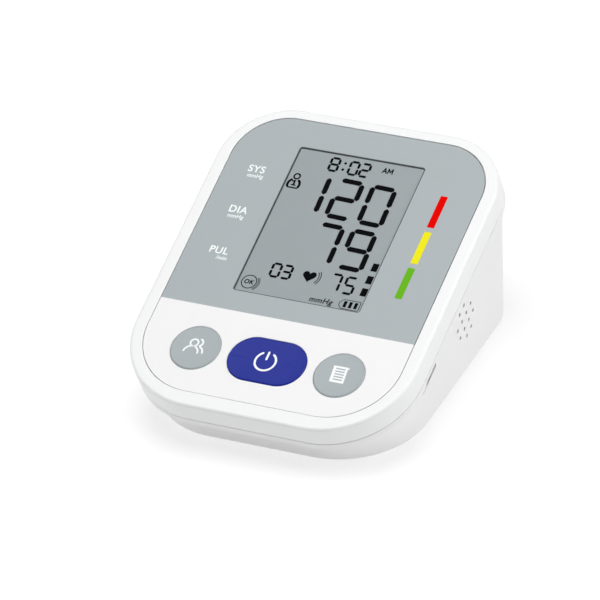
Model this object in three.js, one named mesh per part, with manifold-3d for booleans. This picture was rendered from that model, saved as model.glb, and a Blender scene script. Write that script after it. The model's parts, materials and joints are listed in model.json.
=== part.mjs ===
// Upper arm blood pressure monitor, in millimetres.
//
// Two frames are used. The case frame stands on the case's flat bottom: X to the right, Y to the
// back, Z up, with Y = 0 under the middle of the face panel. The deck frame lies on the tilted
// face: X to the right, Y up the slope, Z out of the face, with its origin at the panel's middle.

import * as THREE from 'three';
import { mergeVertices } from 'three/addons/utils/BufferGeometryUtils.js';
import { ConvexGeometry } from 'three/addons/geometries/ConvexGeometry.js';
import Module from 'manifold-3d';

const wasm = await Module();
wasm.setup();

const { degToRad } = THREE.MathUtils;

// ---------------------------------------------------------------- driving dimensions

const deckTilt = degToRad(18.8);
const deckHeight = 43.4; // panel's middle above the case's flat bottom
const footStand = 1.0; // how far the rubber feet stand below the case
const caseShiftY = -1.166; // puts the object's bounding box over the origin

const gap = 0.3; // clearance between neighbouring pieces
const wall = 2.2;

// Slab outline and face panel outline, deck frame
const slab = { halfWidth: 55.65, front: -67.86, back: 66, frontRadius: 31, backRadius: 25.2 };
const panel = { halfWidth: 50.3, front: -61.76, back: 61.76, frontRadius: 26, backRadius: 19.9 };

// Deck heights, from the rim down
const rimRound = 1.2;
const panelTop = -0.15;
const panelUnder = -1.3;
const floorTop = -1.6;
const floorUnder = -3.2;
const upperEdge = -8.6;
const flangeTop = -9.4;
const flangeUnder = -12;
const flangeRound = 0.5;
const tongueTop = -7.6;
const tongueWall = 1.4;
const boardTop = -9;
const boardUnder = -10.6;

// Wedge body: its top ring hangs under the flange, its foot ring stands on the case's bottom
const bodyTop = { halfWidth: 52.4, front: -63.76, back: 63.06, frontRadius: 28, backRadius: 15 };
const bodyFoot = { halfWidth: 52.15, front: -54.4, back: 58.3, frontRadius: 28.5, backRadius: 18.5 };
const footRounding = { side: 2.2, front: 2.4, back: 13 };

// Display, deck frame
const windowSize = { halfWidth: 25.06, front: -16.2, back: 49.68, frontRadius: 1, backRadius: 1 };
const displayY = (windowSize.front + windowSize.back) / 2;
const glassHalf = { x: 28.3, y: 36.3 };
const glassTop = -1.6;
const glassUnder = -3.4;
const holderUnder = -8.7;
const zebraOffset = 34.6;

// Keys, deck frame
const keyRowY = -43.4;
const keyRadius = 9.45;
const keySpacing = 28.36;
const powerKeyHalfLength = 15.1;
const keyRise = 0.35;
const keyEdge = 0.6; // width of the cap's rounded edge
const keyClearance = 0.35;
const keyFlangeReach = 1.35; // how far the retaining flange stands out
const keyWall = 1.4;
const keyPostRadius = 1.6;
const keyRecess = -2.2; // hollow under the cap
const keyFlangeTop = -3.55;
const keyFlangeUnder = -4.35;
const keyPostEnd = -3.7;
const switchTop = -4.9;

// Battery bay, case frame
const cellRadius = 7.1;
const cellLength = 50.5;
const cellCap = { radius: 2.7, height: 1.2 };
const cellPitch = 14.8;
const cellY = -1.5;
const bay = { halfX: 30.2, front: -29.5, back: 27.5, roof: 18.2, wall: 1.8 };
const bayPad = { halfX: 35.5, front: -34.2, back: 37, height: 4.4 };
const door = { halfX: 32, front: -30.6, back: 33.5, under: 0.15, top: 2.15 };
const doorRecess = 2.45;
const doorAxis = { y: door.front + 1, z: 1.15 };
const doorPin = { radius: 0.8, reach: 1.8 };
const doorTongue = { halfX: 5.5, front: 31.2, back: 32.4, top: 6 };
const cellAxisZ = doorRecess + 1 + cellRadius;

// Pump, valve and sockets, case frame
const pump = { x: -38, y: 43.5, z: 19, radius: 12, canLength: 28, headEnd: 42, capEnd: 46, spigotEnd: 52 };
const valve = { x: 32, y: 44, z: 4.4, halfX: 6.5, halfY: 6, height: 14 };
const valveSpigotX = 3.5; // from the valve's middle
const valveBore = { x: -2, radius: 3.2, floor: 4 };
const manifold = { x: 22, y: 44, z: 31, half: 3, spigotLength: 4 };
const spigotRadius = 1.5;
const spigotBore = 0.8;
const hoseRadius = 2.6;
const hoseBore = 1.95;
const sensorAt = { x: 11.5, y: 39, half: 5, height: 4 };
const sensorTip = -19.4; // deck height
const airSocket = { x: -52.9, y: 12, z: 24, holeRadius: 5.3 };
const speakerAt = { x: 45.4, y: 12.9, z: 20.9, radius: 10, depth: 4 };
const speakerHoles = { columns: 4, pitch: 4.25, radius: 0.75 };

// Recess in the right side for the power plug, with a block behind it that holds the socket, deck frame
const portRecess = { y: -26.9, halfLength: 7.4, top: -10.6, under: -18.6, floorX: 49.8, round: 1.5 };
const portBlock = { innerX: 48.2, halfLength: 8.9, under: -20 };
const powerJack = { innerX: 40.5, outerX: 50.4, halfLength: 6.5, height: 6.4, bore: 2.7, boreDepth: 8 };

// Screws, their bosses and the feet
const caseBoss = { radius: 3.4, bore: 1.85, boreDepth: 9 };
const boardBoss = { radius: 2.8, bore: 1.5, boreDepth: 5 };
const pillar = { radius: 4.4, bore: 1.85, counterbore: 3.5, seat: 7.5 };
const caseScrewSize = { headRadius: 3, headHeight: 2.2, shankRadius: 1.5, shankLength: 12 };
const boardScrewSize = { headRadius: 2.3, headHeight: 1.5, shankRadius: 1.15, shankLength: 5.5 };
const caseScrews = [
  { x: -43.5, y: -46, split: -12.6 },
  { x: 43.5, y: -46, split: -12.6 },
  { x: -43.5, y: 24, split: -34 },
  { x: 43.5, y: 24, split: -34 },
];
const boardScrews = [
  { x: -33.5, y: -26 },
  { x: 33.5, y: -26 },
  { x: -33.5, y: 55.5 },
  { x: 33.5, y: 55.5 },
];
const feet = [
  { x: -31, y: -43 },
  { x: 31, y: -43 },
  { x: -31, y: 41.5 },
  { x: 31, y: 41.5 },
];
const footRadius = 5;
const footSeat = { depth: 1.5, wall: 1.3, top: 3.8 };
const farBelow = -80; // deck height under the whole case

// ---------------------------------------------------------------- shape helpers

/** Points round a rectangle with rounded corners, each with its outward normal. */
function roundedRing(outline, inset = 0, steps = 6) {
  const { halfWidth, front, back, frontRadius, backRadius } = outline;
  const corners = [
    [halfWidth - backRadius, back - backRadius, backRadius, 0],
    [backRadius - halfWidth, back - backRadius, backRadius, 90],
    [frontRadius - halfWidth, front + frontRadius, frontRadius, 180],
    [halfWidth - frontRadius, front + frontRadius, frontRadius, 270],
  ];
  const ring = [];
  for (const [x, y, radius, start] of corners) {
    for (let i = 0; i <= steps; i++) {
      const angle = degToRad(start + (90 * i) / steps);
      const normal = new THREE.Vector2(Math.cos(angle), Math.sin(angle));
      const point = new THREE.Vector2(x, y).addScaledVector(normal, radius - inset);
      const repeats = ring.some((other) => other.point.distanceTo(point) < 1e-4);
      if (!repeats) ring.push({ point, normal });
    }
  }
  return ring;
}

/** The same outline, larger or smaller all round. */
function grown(outline, by) {
  return {
    halfWidth: outline.halfWidth + by,
    front: outline.front - by,
    back: outline.back + by,
    frontRadius: Math.max(outline.frontRadius + by, 0.5),
    backRadius: Math.max(outline.backRadius + by, 0.5),
  };
}

/** A rectangle about (0, y) with one corner radius. */
function rectangle(halfX, halfY, radius, y = 0) {
  return { halfWidth: halfX, front: y - halfY, back: y + halfY, frontRadius: radius, backRadius: radius };
}

/** A ring's points at one height. */
function ringAt(ring, z) {
  return ring.map(({ point }) => new THREE.Vector3(point.x, point.y, z));
}

/** Plate between two heights with a ring's outline. */
function plate(ring, low, high, x = 0, y = 0) {
  const shape = new THREE.Shape(ring.map(({ point }) => point));
  const geometry = new THREE.ExtrudeGeometry(shape, { depth: high - low, bevelEnabled: false });
  return geometry.translate(x, y, low);
}

/** Box given by its lowest and highest corners. */
function boxBetween(low, high) {
  const size = high.map((value, axis) => value - low[axis]);
  const middle = high.map((value, axis) => (value + low[axis]) / 2);
  return new THREE.BoxGeometry(...size).translate(...middle);
}

/** Upright cylinder on (x, y) between two heights. */
function post(x, y, low, high, radius, sides = 16) {
  const geometry = new THREE.CylinderGeometry(radius, radius, high - low, sides);
  return geometry.rotateX(Math.PI / 2).translate(x, y, (low + high) / 2);
}

/** Turned piece about Z from [radius, height] pairs. A profile off the axis is closed on itself. */
function turned(profile, sides = 20) {
  const points = profile.map(([radius, height]) => new THREE.Vector2(radius, height));
  if (THREE.ShapeUtils.area(points) < 0) points.reverse();
  if (profile.every(([radius]) => radius > 0)) points.push(points[0].clone());
  return new THREE.LatheGeometry(points, sides).rotateX(Math.PI / 2);
}

/** Round bar or hose along smooth points; a bore makes it a hose. */
function hose(points, radius, bore = 0, steps = 12, sides = 8) {
  const path = new THREE.CatmullRomCurve3(points.map((p) => new THREE.Vector3(...p)));
  const circle = (r) => Array.from({ length: sides }, (_, i) => {
    const angle = (2 * Math.PI * i) / sides;
    return new THREE.Vector2(r * Math.cos(angle), r * Math.sin(angle));
  });
  const shape = new THREE.Shape(circle(radius));
  if (bore > 0) shape.holes.push(new THREE.Path(circle(bore)));
  return new THREE.ExtrudeGeometry(shape, { steps, extrudePath: path, bevelEnabled: false });
}

/** Closed geometry to a manifold solid. */
function solid(geometry) {
  const bare = geometry.clone();
  bare.deleteAttribute('normal');
  bare.deleteAttribute('uv');
  const merged = mergeVertices(bare, 1e-4);
  return new wasm.Manifold(new wasm.Mesh({
    numProp: 3,
    vertProperties: new Float32Array(merged.attributes.position.array),
    triVerts: new Uint32Array(merged.index.array),
  }));
}

/** One solid made of several geometries. */
function joined(...geometries) {
  return geometries.map(solid).reduce((sum, next) => sum.add(next));
}

/** What is left of a solid when geometries are cut out of it. */
function without(base, ...cutters) {
  return cutters.map(solid).reduce((rest, cutter) => rest.subtract(cutter), base);
}

/** Manifold solid back to a geometry. */
function geometryOf(manifoldSolid) {
  const mesh = manifoldSolid.getMesh();
  const geometry = new THREE.BufferGeometry();
  geometry.setAttribute('position', new THREE.BufferAttribute(mesh.vertProperties, 3));
  geometry.setIndex(new THREE.BufferAttribute(mesh.triVerts, 1));
  geometry.computeVertexNormals();
  return geometry;
}

// ---------------------------------------------------------------- materials

const finishes = {
  casePlastic: { color: 0xf4f5f5, roughness: 0.42, metalness: 0 },
  panelPrint: { color: 0xb2babd, roughness: 0.35, metalness: 0 },
  clear: { color: 0xdfe6e6, roughness: 0.08, metalness: 0, transparent: true, opacity: 0.35 },
  display: { color: 0xa9b1b2, roughness: 0.25, metalness: 0 },
  keyGrey: { color: 0xb2babd, roughness: 0.45, metalness: 0 },
  keyBlue: { color: 0x37419a, roughness: 0.4, metalness: 0 },
  innerPlastic: { color: 0xe8e8e4, roughness: 0.5, metalness: 0 },
  darkPlastic: { color: 0x26282a, roughness: 0.5, metalness: 0 },
  elastomer: { color: 0xd58fa0, roughness: 0.7, metalness: 0 },
  board: { color: 0x1f6b3f, roughness: 0.4, metalness: 0 },
  steel: { color: 0xc4c6c8, roughness: 0.3, metalness: 1 },
  blackRubber: { color: 0x2a2b2c, roughness: 0.8, metalness: 0 },
  greyRubber: { color: 0x8d9194, roughness: 0.8, metalness: 0 },
  silicone: { color: 0xe6e4da, roughness: 0.6, metalness: 0 },
  cellWrap: { color: 0x2f6f4e, roughness: 0.35, metalness: 0.2 },
};

/** A named sub-part with a material of its own. */
function node(name, shape, finish, parent) {
  const geometry = shape.isBufferGeometry ? shape : geometryOf(shape);
  const mesh = new THREE.Mesh(geometry, new THREE.MeshStandardMaterial(finishes[finish]));
  mesh.name = name;
  parent.add(mesh);
  return mesh;
}

// ---------------------------------------------------------------- frames

const monitor = new THREE.Group();
const caseFrame = new THREE.Group();
caseFrame.position.set(0, caseShiftY, footStand);
monitor.add(caseFrame);

const deck = new THREE.Group();
deck.position.set(0, 0, deckHeight);
deck.rotation.x = deckTilt;
caseFrame.add(deck);
deck.updateMatrix();

/** Deck-frame geometry in the case frame. */
function fromDeck(geometry) {
  return geometry.clone().applyMatrix4(deck.matrix);
}

// ---------------------------------------------------------------- upper case

/** Holes through which the keys pass. */
function keyHoles(low, high) {
  const reach = keyRadius + keyClearance;
  const powerRing = roundedRing(rectangle(powerKeyHalfLength + keyClearance, reach, reach, keyRowY));
  return [
    post(-keySpacing, keyRowY, low, high, reach, 24),
    post(keySpacing, keyRowY, low, high, reach, 24),
    plate(powerRing, low, high),
  ];
}

function upperCase() {
  const shell = solid(new ConvexGeometry([
    ...ringAt(roundedRing(slab), upperEdge),
    ...ringAt(roundedRing(slab), -rimRound),
    ...ringAt(roundedRing(slab, 0.3 * rimRound), -0.3 * rimRound),
    ...ringAt(roundedRing(slab, rimRound), 0),
  ]));
  const bosses = [
    ...caseScrews.map(({ x, y, split }) => post(x, y, split + gap, floorUnder + 0.5, caseBoss.radius, 12)),
    ...boardScrews.map(({ x, y }) => post(x, y, boardTop + gap, floorUnder + 0.5, boardBoss.radius, 10)),
  ];
  const displayOpening = rectangle(glassHalf.x + gap, glassHalf.y + gap, 0.6, displayY);
  const hollowed = without(
    shell,
    plate(roundedRing(slab, wall), upperEdge - 1, floorUnder),
    plate(roundedRing(grown(panel, 0.15)), floorTop, 1),
    plate(roundedRing(displayOpening, 0, 2), floorUnder - 1, floorTop + 1),
    ...keyHoles(floorUnder - 1, floorTop + 1),
  );
  return without(
    hollowed.add(joined(...bosses)),
    ...caseScrews.map(({ x, y, split }) => post(x, y, split, split + caseBoss.boreDepth, caseBoss.bore, 10)),
    ...boardScrews.map(({ x, y }) => post(x, y, boardTop, boardTop + boardBoss.boreDepth, boardBoss.bore, 8)),
  );
}

function facePanel() {
  return without(
    solid(plate(roundedRing(panel, 0.1), panelUnder, panelTop)),
    plate(roundedRing(windowSize, 0, 2), panelUnder - 1, panelTop + 1),
    ...keyHoles(panelUnder - 1, panelTop + 1),
  );
}

// ---------------------------------------------------------------- lower case

/** Height of the foot rounding where the outline faces the given way. */
function roundingAt(normal) {
  const alongY = normal.y < 0 ? footRounding.front : footRounding.back;
  return footRounding.side * normal.x ** 2 + alongY * normal.y ** 2;
}

/** The wedge under the flange, drawn in by a wall thickness for its inside. */
function wedge(inset) {
  const points = ringAt(roundedRing(bodyTop, inset), flangeUnder + 0.5)
    .map((point) => point.applyMatrix4(deck.matrix));
  for (const degrees of [0, 30, 60, 90]) {
    const turn = degToRad(degrees);
    for (const { point, normal } of roundedRing(bodyFoot, inset)) {
      const radius = Math.max(roundingAt(normal) - inset, 0.4);
      const place = point.clone().addScaledVector(normal, -radius * (1 - Math.cos(turn)));
      points.push(new THREE.Vector3(place.x, place.y, inset + radius * (1 - Math.sin(turn))));
    }
  }
  return solid(new ConvexGeometry(points));
}

/** Speaker holes: a square grid without its corners, through the right wall. */
function speakerGrille() {
  const holes = [];
  const { columns, pitch, radius } = speakerHoles;
  const middle = (columns - 1) / 2;
  for (let column = 0; column < columns; column++) {
    for (let row = 0; row < columns; row++) {
      const isCorner = Math.abs(column - middle) === middle && Math.abs(row - middle) === middle;
      if (isCorner) continue;
      const hole = new THREE.CylinderGeometry(radius, radius, 8, 6).rotateZ(Math.PI / 2);
      hole.rotateX(deckTilt).translate(
        bodyTop.halfWidth - 1,
        speakerAt.y + pitch * ((column - middle) * Math.cos(deckTilt) - (row - middle) * Math.sin(deckTilt)),
        speakerAt.z + pitch * ((column - middle) * Math.sin(deckTilt) + (row - middle) * Math.cos(deckTilt)),
      );
      holes.push(hole);
    }
  }
  return holes;
}

/** Pillars that take the case screws, kept inside the wedge. */
function screwPillars() {
  return caseScrews.map(({ x, y, split }) => fromDeck(post(x, y, farBelow, split, pillar.radius, 12)));
}

function screwBores() {
  return caseScrews.flatMap(({ x, y, split }) => [
    fromDeck(post(x, y, farBelow, split + 1, pillar.bore, 10)),
    fromDeck(post(x, y, farBelow, split - pillar.seat, pillar.counterbore, 12)),
  ]);
}

/** Plate on the plane across X, from an outline in deck Y and Z. */
function sidePlate(outline, lowX, highX) {
  const turn = new THREE.Matrix4().makeBasis(
    new THREE.Vector3(0, 1, 0),
    new THREE.Vector3(0, 0, 1),
    new THREE.Vector3(1, 0, 0),
  );
  return plate(roundedRing(outline, 0, 2), lowX, highX).applyMatrix4(turn).translate(0, portRecess.y, 0);
}

/** Recess for the power plug and, behind it, the opening for the socket. */
function portCuts() {
  const { halfLength, top, under, floorX, round } = portRecess;
  const outline = rectangle(halfLength, (top - under) / 2, round, (top + under) / 2);
  const reach = powerJack.halfLength + gap;
  const [jackTop, jackUnder] = [top, boardUnder - 2 * gap - powerJack.height];
  const opening = rectangle(reach, (jackTop - jackUnder) / 2, gap, (jackTop + jackUnder) / 2);
  return [
    fromDeck(sidePlate(outline, floorX, slab.halfWidth + 1)),
    fromDeck(sidePlate(opening, portBlock.innerX - 1, floorX + 1)),
  ];
}

/** Block behind the recess, kept when the case is hollowed. */
function portBlockShape() {
  const { innerX, halfLength, under } = portBlock;
  return fromDeck(boxBetween(
    [innerX, portRecess.y - halfLength, under],
    [bodyTop.halfWidth, portRecess.y + halfLength, flangeTop],
  ));
}

/** The bay's outside, which stays when the case is hollowed, with the pad that carries the door. */
function bayShell() {
  const { halfX, front, back, roof } = bay;
  const thick = bay.wall;
  return joined(
    boxBetween([-halfX - thick, front - thick, -1], [halfX + thick, back + thick, roof + thick]),
    boxBetween([-bayPad.halfX, bayPad.front, -1], [bayPad.halfX, bayPad.back, bayPad.height]),
    boxBetween([-8, back, -1], [8, door.back + 2, 8.5]),
  );
}

/** Everything cut for the door: the bay, the shallow recess, the tongue's pocket and the pin holes. */
function doorCuts() {
  const pinRadius = doorPin.radius + gap;
  const pinLength = 2 * (door.halfX + doorPin.reach + 0.5);
  const pin = new THREE.CylinderGeometry(pinRadius, pinRadius, pinLength, 10).rotateZ(Math.PI / 2);
  return [
    boxBetween([-bay.halfX, bay.front, -1], [bay.halfX, bay.back, bay.roof]),
    boxBetween([-door.halfX - gap, door.front - gap, -1], [door.halfX + gap, door.back + gap, doorRecess]),
    boxBetween([-6.2, 30, -1], [6.2, door.back + gap, 7]),
    pin.translate(0, doorAxis.y, doorAxis.z),
  ];
}

function lowerCase() {
  const outside = wedge(0);
  const seatRadius = footRadius + gap + footSeat.wall;
  const footSeats = feet.map(({ x, y }) => post(x, y, -1, footSeat.top, seatRadius, 16));
  const block = solid(portBlockShape());
  const kept = bayShell().add(joined(...screwPillars(), ...footSeats)).add(block);
  const inside = wedge(wall).subtract(kept);
  const flange = solid(fromDeck(new ConvexGeometry([
    ...ringAt(roundedRing(slab), flangeTop),
    ...ringAt(roundedRing(slab), flangeUnder + flangeRound),
    ...ringAt(roundedRing(slab, flangeRound), flangeUnder),
  ])));
  const tongueInset = wall + gap;
  const tongue = solid(fromDeck(plate(roundedRing(slab, tongueInset), flangeTop - 0.5, tongueTop)));
  const insideTongue = roundedRing(slab, tongueInset + tongueWall);
  const throughFlange = solid(fromDeck(plate(roundedRing(bodyTop, wall), flangeUnder - 0.5, flangeTop)))
    .intersect(solid(fromDeck(plate(insideTongue, flangeUnder - 1, flangeTop - 0.3))))
    .subtract(block);
  const shell = outside.add(flange).add(tongue).subtract(inside).subtract(throughFlange);
  return without(
    shell,
    fromDeck(plate(insideTongue, flangeTop - 0.6, tongueTop + 1)),
    ...doorCuts(),
    ...screwBores(),
    ...feet.map((foot) => post(foot.x, foot.y, -1, footSeat.depth, footRadius + gap, 16)),
    ...speakerGrille(),
    ...portCuts(),
    airSocketHole(),
  );
}

function airSocketHole() {
  const { x, y, z, holeRadius } = airSocket;
  return new THREE.CylinderGeometry(holeRadius, holeRadius, 12, 16).rotateZ(Math.PI / 2).translate(x, y, z);
}

// ---------------------------------------------------------------- display and board

function displayStack() {
  node('display_window', plate(roundedRing(windowSize, gap, 2), panelUnder, panelTop), 'clear', deck);
  const glass = rectangle(glassHalf.x, glassHalf.y, 0.6, displayY);
  node('lcd_glass', plate(roundedRing(glass, 0, 1), glassUnder, glassTop), 'display', deck);
  const reflector = rectangle(24.5, 31.5, 0.6, displayY);
  node('lcd_reflector', plate(roundedRing(reflector, 0, 1), -4.3, glassUnder - gap), 'silicone', deck);

  const frame = rectangle(30, 38, 2, displayY);
  const opening = rectangle(25, 32, 1, displayY);
  const zebraSlot = (side) => boxBetween(
    [-23, displayY + side * zebraOffset - 1.5, holderUnder - 1],
    [23, displayY + side * zebraOffset + 1.5, floorUnder],
  );
  const holder = without(
    solid(plate(roundedRing(frame, 0, 2), holderUnder, glassUnder - gap)),
    plate(roundedRing(opening, 0, 1), holderUnder - 1, 0),
    zebraSlot(1),
    zebraSlot(-1),
  );
  node('lcd_holder', holder, 'innerPlastic', deck);
  for (const [name, side] of [['zebra_strip_rear', 1], ['zebra_strip_front', -1]]) {
    const middle = displayY + side * zebraOffset;
    const strip = boxBetween([-22.5, middle - 1.2, holderUnder], [22.5, middle + 1.2, glassUnder - gap]);
    node(name, strip, 'elastomer', deck);
  }
}

function mainBoard() {
  const ear = boxBetween([36, portRecess.y - 6, boardUnder], [47.5, portRecess.y + 6, boardTop]);
  const outline = { halfWidth: 37, front: -55, back: 59, frontRadius: 4, backRadius: 4 };
  return without(
    joined(plate(roundedRing(outline, 0, 2), boardUnder, boardTop), ear),
    ...boardScrews.map(({ x, y }) => post(x, y, boardUnder - 1, boardTop + 1, 1.6, 8)),
  );
}

/** Tact switch: square body with a round plunger. */
function tactSwitch(x) {
  const half = 3.1;
  const shoulder = switchTop - 0.6;
  return joined(
    boxBetween([x - half, keyRowY - half, boardTop + gap], [x + half, keyRowY + half, shoulder]),
    post(x, keyRowY, shoulder - 0.5, switchTop, 1.7, 12),
  );
}

function pressureSensor() {
  const { x, y, half, height } = sensorAt;
  const top = boardUnder - gap;
  return joined(
    boxBetween([x - half, y - half, top - height], [x + half, y + half, top]),
    post(x, y, sensorTip, top - height + 0.5, spigotRadius, 10),
  );
}

/** Electronics carried by the board. */
function electronics() {
  node('main_board', mainBoard(), 'board', deck);
  const chip = boxBetween([-8, -6, boardUnder - gap - 1.4], [6, 8, boardUnder - gap]);
  node('controller_chip', chip, 'darkPlastic', deck);
  node('user_switch', tactSwitch(-keySpacing), 'darkPlastic', deck);
  node('power_switch', tactSwitch(0), 'darkPlastic', deck);
  node('memory_switch', tactSwitch(keySpacing), 'darkPlastic', deck);
  node('pressure_sensor', pressureSensor(), 'darkPlastic', deck);
}

// ---------------------------------------------------------------- keys

function roundKey() {
  return turned([
    [0, keyRise],
    [keyRadius - keyEdge, keyRise],
    [keyRadius - 0.3 * keyEdge, 0.6 * keyRise],
    [keyRadius, panelTop],
    [keyRadius, keyFlangeTop],
    [keyRadius + keyFlangeReach, keyFlangeTop],
    [keyRadius + keyFlangeReach, keyFlangeUnder],
    [keyRadius - keyWall, keyFlangeUnder],
    [keyRadius - keyWall, keyRecess],
    [keyPostRadius, keyRecess],
    [keyPostRadius, keyPostEnd],
    [0, keyPostEnd],
  ], 20);
}

function powerKey() {
  const ring = (inset) => roundedRing(rectangle(powerKeyHalfLength, keyRadius, keyRadius), inset);
  const cap = new ConvexGeometry([
    ...ringAt(ring(keyEdge), keyRise),
    ...ringAt(ring(0.3 * keyEdge), 0.6 * keyRise),
    ...ringAt(ring(0), panelTop),
    ...ringAt(ring(0), keyFlangeUnder),
  ]);
  const hollow = without(
    joined(cap, plate(ring(-keyFlangeReach), keyFlangeUnder, keyFlangeTop)),
    plate(ring(keyWall), keyFlangeUnder - 1, keyRecess),
  );
  return hollow.add(solid(post(0, 0, keyPostEnd, keyRecess + 0.5, keyPostRadius, 12)));
}

function keys() {
  node('user_button', roundKey(), 'keyGrey', deck).position.set(-keySpacing, keyRowY, 0);
  node('power_button', powerKey(), 'keyBlue', deck).position.set(0, keyRowY, 0);
  node('memory_button', roundKey(), 'keyGrey', deck).position.set(keySpacing, keyRowY, 0);
}

// ---------------------------------------------------------------- battery bay

/** AA cell along Y; its raised end points to the back, or to the front when turned round. */
function batteryCell() {
  const edge = 0.5;
  const shoulder = cellLength - cellCap.height;
  return turned([
    [0, 0],
    [cellRadius - edge, 0],
    [cellRadius, edge],
    [cellRadius, shoulder - edge],
    [cellRadius - edge, shoulder],
    [cellCap.radius, shoulder],
    [cellCap.radius, cellLength],
    [0, cellLength],
  ], 16);
}

/** Contact plate on an end wall, with a cone spring's envelope at each negative end. */
function contactPlate(plateLow, plateHigh, endY, inward, springXs) {
  const z = cellAxisZ;
  const sheet = 0.5;
  const springHeight = 1.6;
  const faces = [endY, endY + inward * sheet].sort((a, b) => a - b);
  const pieces = [boxBetween([plateLow, faces[0], z - 5], [plateHigh, faces[1], z + 5])];
  for (const x of springXs) {
    const cone = new THREE.CylinderGeometry(1.8, 3.6, springHeight, 12);
    const lean = inward > 0 ? 0 : Math.PI;
    pieces.push(cone.rotateX(lean).translate(x, endY + inward * (sheet + springHeight / 2 - 0.2), z));
  }
  return joined(...pieces);
}

function batteryBay() {
  for (let i = 0; i < 4; i++) {
    const cell = node(`battery_cell_${i + 1}`, batteryCell(), 'cellWrap', caseFrame);
    const facesBack = i % 2 === 0;
    cell.position.set(cellPitch * (i - 1.5), cellY - (facesBack ? 1 : -1) * cellLength / 2, cellAxisZ);
    cell.rotation.x = facesBack ? -Math.PI / 2 : Math.PI / 2;
  }
  const front = bay.front + gap;
  const back = bay.back - gap;
  const [x1, x2, x3, x4] = [-1.5, -0.5, 0.5, 1.5].map((step) => step * cellPitch);
  node('front_contact_left', contactPlate(x1 - 5, x1 + 5, front, 1, [x1]), 'steel', caseFrame);
  node('front_contact_middle', contactPlate(x2 - 5, x3 + 5, front, 1, [x3]), 'steel', caseFrame);
  node('front_contact_right', contactPlate(x4 - 5, x4 + 5, front, 1, []), 'steel', caseFrame);
  node('back_contact_left', contactPlate(x1 - 5, x2 + 5, back, -1, [x2]), 'steel', caseFrame);
  node('back_contact_right', contactPlate(x3 - 5, x4 + 5, back, -1, [x4]), 'steel', caseFrame);
}

/** Door with a round hinge edge, two stub pins and a snap tongue at the back. */
function batteryDoor() {
  const thickness = door.top - door.under;
  const edge = new THREE.CylinderGeometry(thickness / 2, thickness / 2, 2 * door.halfX, 12);
  const pinLength = 2 * (door.halfX + doorPin.reach);
  const pins = new THREE.CylinderGeometry(doorPin.radius, doorPin.radius, pinLength, 10);
  const leaf = boxBetween([-door.halfX, doorAxis.y, door.under], [door.halfX, door.back, door.top]);
  return joined(
    leaf,
    edge.rotateZ(Math.PI / 2).translate(0, doorAxis.y, doorAxis.z),
    pins.rotateZ(Math.PI / 2).translate(0, doorAxis.y, doorAxis.z),
    boxBetween(
      [-doorTongue.halfX, doorTongue.front, door.under + 0.5],
      [doorTongue.halfX, doorTongue.back, doorTongue.top],
    ),
  );
}

// ---------------------------------------------------------------- air path

/** Turned piece whose axis points along +X from (x, y, z). */
function alongX(profile, x, y, z, sides = 20) {
  return turned(profile, sides).rotateY(Math.PI / 2).translate(x, y, z);
}

function airPump() {
  const { x, y, z, radius, canLength, headEnd, capEnd, spigotEnd } = pump;
  const sheet = 1;
  const can = [
    [2.4, 0], [radius - sheet, 0], [radius, sheet], [radius, canLength],
    [radius - sheet, canLength], [radius - sheet, 1.2], [2.4, 1.2],
  ];
  node('pump_motor_can', alongX(can, x, y, z), 'steel', caseFrame);
  const shaft = 1;
  const core = 9.5;
  const crank = 4;
  const rotor = [
    [0, -2], [shaft, -2], [shaft, 4], [core, 4], [core, 22], [shaft, 22],
    [shaft, 31], [crank, 31], [crank, 35], [0, 35],
  ];
  node('pump_rotor', alongX(rotor, x, y, z, 16), 'steel', caseFrame);
  const headStart = canLength + gap;
  const headWall = 1.5;
  const head = [
    [2, headStart], [radius, headStart], [radius, headEnd],
    [radius - headWall, headEnd], [radius - headWall, headStart + 1.4], [2, headStart + 1.4],
  ];
  node('pump_head', alongX(head, x, y, z), 'innerPlastic', caseFrame);
  const diaphragmRadius = radius - headWall - 0.4;
  const diaphragm = [
    [0, 37], [3, 37], [3.5, 40], [diaphragmRadius, 40], [diaphragmRadius, 41.6], [0, 41.6],
  ];
  node('pump_diaphragm', alongX(diaphragm, x, y, z, 16), 'blackRubber', caseFrame);
  const roof = headEnd + 1.8;
  const cap = [
    [spigotBore, roof], [spigotBore, spigotEnd], [spigotRadius, spigotEnd], [spigotRadius, capEnd],
    [radius, capEnd], [radius, headEnd + gap], [8, headEnd + gap], [8, roof],
  ];
  node('pump_cap', alongX(cap, x, y, z), 'innerPlastic', caseFrame);
}

function releaseValve() {
  const { x, y, z, halfX, halfY, height } = valve;
  const top = z + height;
  const boreX = x + valveBore.x;
  const floor = z + valveBore.floor;
  const body = without(
    joined(
      boxBetween([x - halfX, y - halfY, z], [x + halfX, y + halfY, top]),
      post(x + valveSpigotX, y, top - 1, top + 5, spigotRadius, 10),
    ),
    post(boreX, y, floor, top + 1, valveBore.radius, 12),
  );
  node('valve_body', body, 'steel', caseFrame);
  const plunger = joined(
    post(boreX, y, floor + 1.2, top - 1, valveBore.radius - 0.4, 12),
    post(boreX, y, top - 1.5, top + 1.5, 1.2, 8),
  );
  node('valve_plunger', plunger, 'steel', caseFrame);
}

/** Four-way joint: a cube with one spigot towards each hose. */
function airManifold() {
  const { x, y, z, half, spigotLength } = manifold;
  const spigot = (dx, dy, dz) => {
    const bar = new THREE.CylinderGeometry(spigotRadius, spigotRadius, spigotLength + 1, 8);
    if (dx !== 0) bar.rotateZ(Math.PI / 2);
    if (dz !== 0) bar.rotateX(Math.PI / 2);
    const reach = half + (spigotLength - 1) / 2;
    return bar.translate(x + reach * dx, y + reach * dy, z + reach * dz);
  };
  return joined(
    boxBetween([x - half, y - half, z - half], [x + half, y + half, z + half]),
    spigot(1, 0, 0),
    spigot(-1, 0, 0),
    spigot(0, -1, 0),
    spigot(0, 0, -1),
  );
}

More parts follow.
